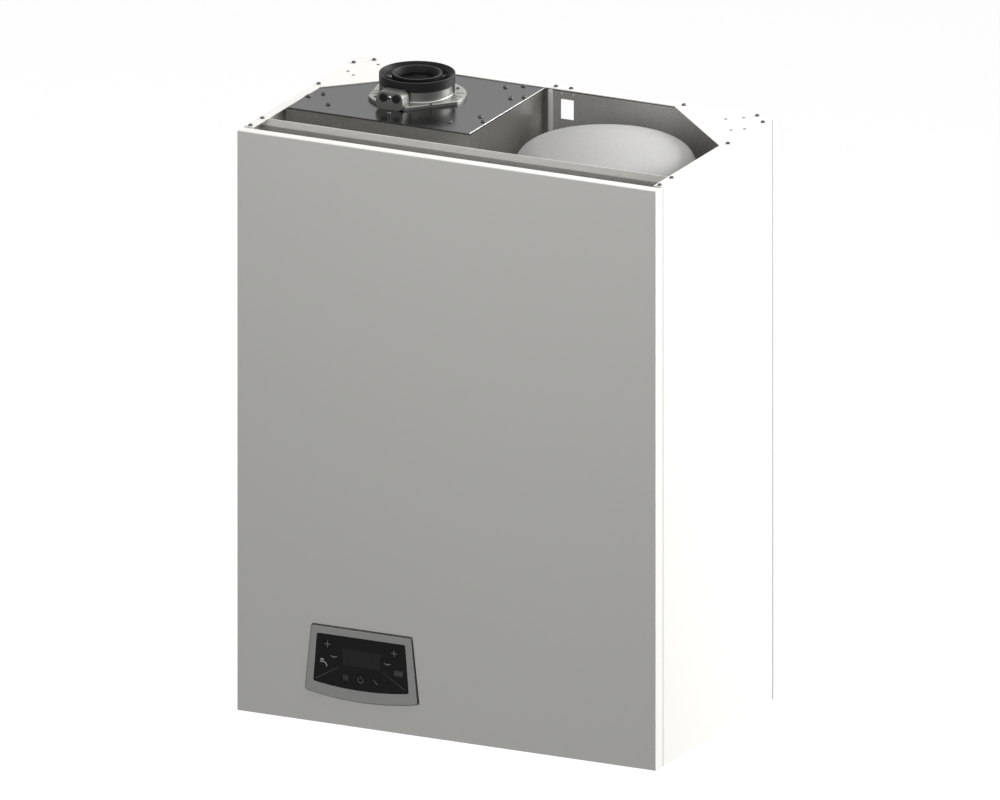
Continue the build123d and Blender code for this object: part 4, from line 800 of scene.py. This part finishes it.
# Camera: parallel view, 26 degrees round to the right and 17 above. Its right and up, and the
# shift of its middle in metres, come from the casing's corners in the picture.
scene = bpy.context.scene
scene.view_settings.view_transform = "Standard"
right = Vector((0.89818, 0.43963, 0.0))
up = Vector((-0.13103, 0.26769, 0.95455))
back = right.cross(up)
shift_right, shift_up, distance = -0.10055, 0.39498, 4
stand = right * shift_right + up * shift_up + back * distance
camera = bpy.data.objects.new("camera", bpy.data.cameras.new("camera"))
scene.collection.objects.link(camera)
camera.data.type = "ORTHO"
camera.data.ortho_scale = 1.4817
camera.data.clip_end = 100
camera.matrix_world = Matrix(
    [[right[k], up[k], back[k], stand[k]] for k in range(3)] + [[0, 0, 0, 1]]
)
scene.camera = camera


# Studio lamps: a broad one from behind on the right, which whitens the right side and the
# folds, one from above, and a weak one in front.
def lamp(name, spot, aim, size, power):
    """A square lamp of a size in metres, aimed at a point."""
    light = bpy.data.objects.new(name, bpy.data.lights.new(name, "AREA"))
    light.data.shape = "SQUARE"
    light.data.size = size
    light.data.energy = power
    towards = Vector(aim) - Vector(spot)
    light.matrix_world = (
        Matrix.Translation(spot) @ towards.to_track_quat("-Z", "Y").to_matrix().to_4x4()
    )
    scene.collection.objects.link(light)


lamp("key_lamp", (2.7, 2.8, 1.8), aim=(0.3, -0.2, 0.45), size=2.4, power=262)
lamp("top_lamp", (0.5, -0.1, 4.0), aim=(0, -0.2, 0.9), size=2.4, power=66)
lamp("fill_lamp", (0.1, -1.9, 1.55), aim=(0, -0.4, 1.05), size=1.3, power=7.2)


# World and floor, both pale. Rays from the camera, straight or by way of gloss or glass, see
# them white; the light that they give the object is weaker.
def seen(wire):
    """1 on camera, glossy and transmission rays, and 0 on all others."""
    camera_ray, glossy_ray, through_ray = (
        wire.put("ShaderNodeLightPath", {}, ray)
        for ray in ("Is Camera Ray", "Is Glossy Ray", "Is Transmission Ray")
    )
    return (camera_ray + glossy_ray + through_ray).math("MINIMUM", 1.0)


world = bpy.data.worlds.new("studio")
scene.world = world
world.use_nodes = True
sky = seen(Wire(world.node_tree)).mix((0.2, 0.2, 0.2), (1.0, 1.0, 1.0))
world.node_tree.links.new(sky.socket, world.node_tree.nodes["Background"].inputs["Color"])

pale_floor, shader, place = material("pale_floor")
feed(
    shader,
    Base_Color=(0.36, 0.36, 0.36),
    Roughness=0.9,
    Emission_Color=seen(place).mix((0, 0, 0), (1, 1, 1)),
    Emission_Strength=0.85,
)
floor_level, floor_radius = -1.2, 30
ground = bmesh.new()
bmesh.ops.create_circle(ground, cap_ends=True, segments=64, radius=floor_radius,
                        matrix=Matrix.Translation((0, 0, floor_level)))
ground_mesh = bpy.data.meshes.new("ground")
ground.to_mesh(ground_mesh)
ground.free()
ground_mesh.materials.append(pale_floor)
floor = bpy.data.objects.new("ground", ground_mesh)
scene.collection.objects.link(floor)
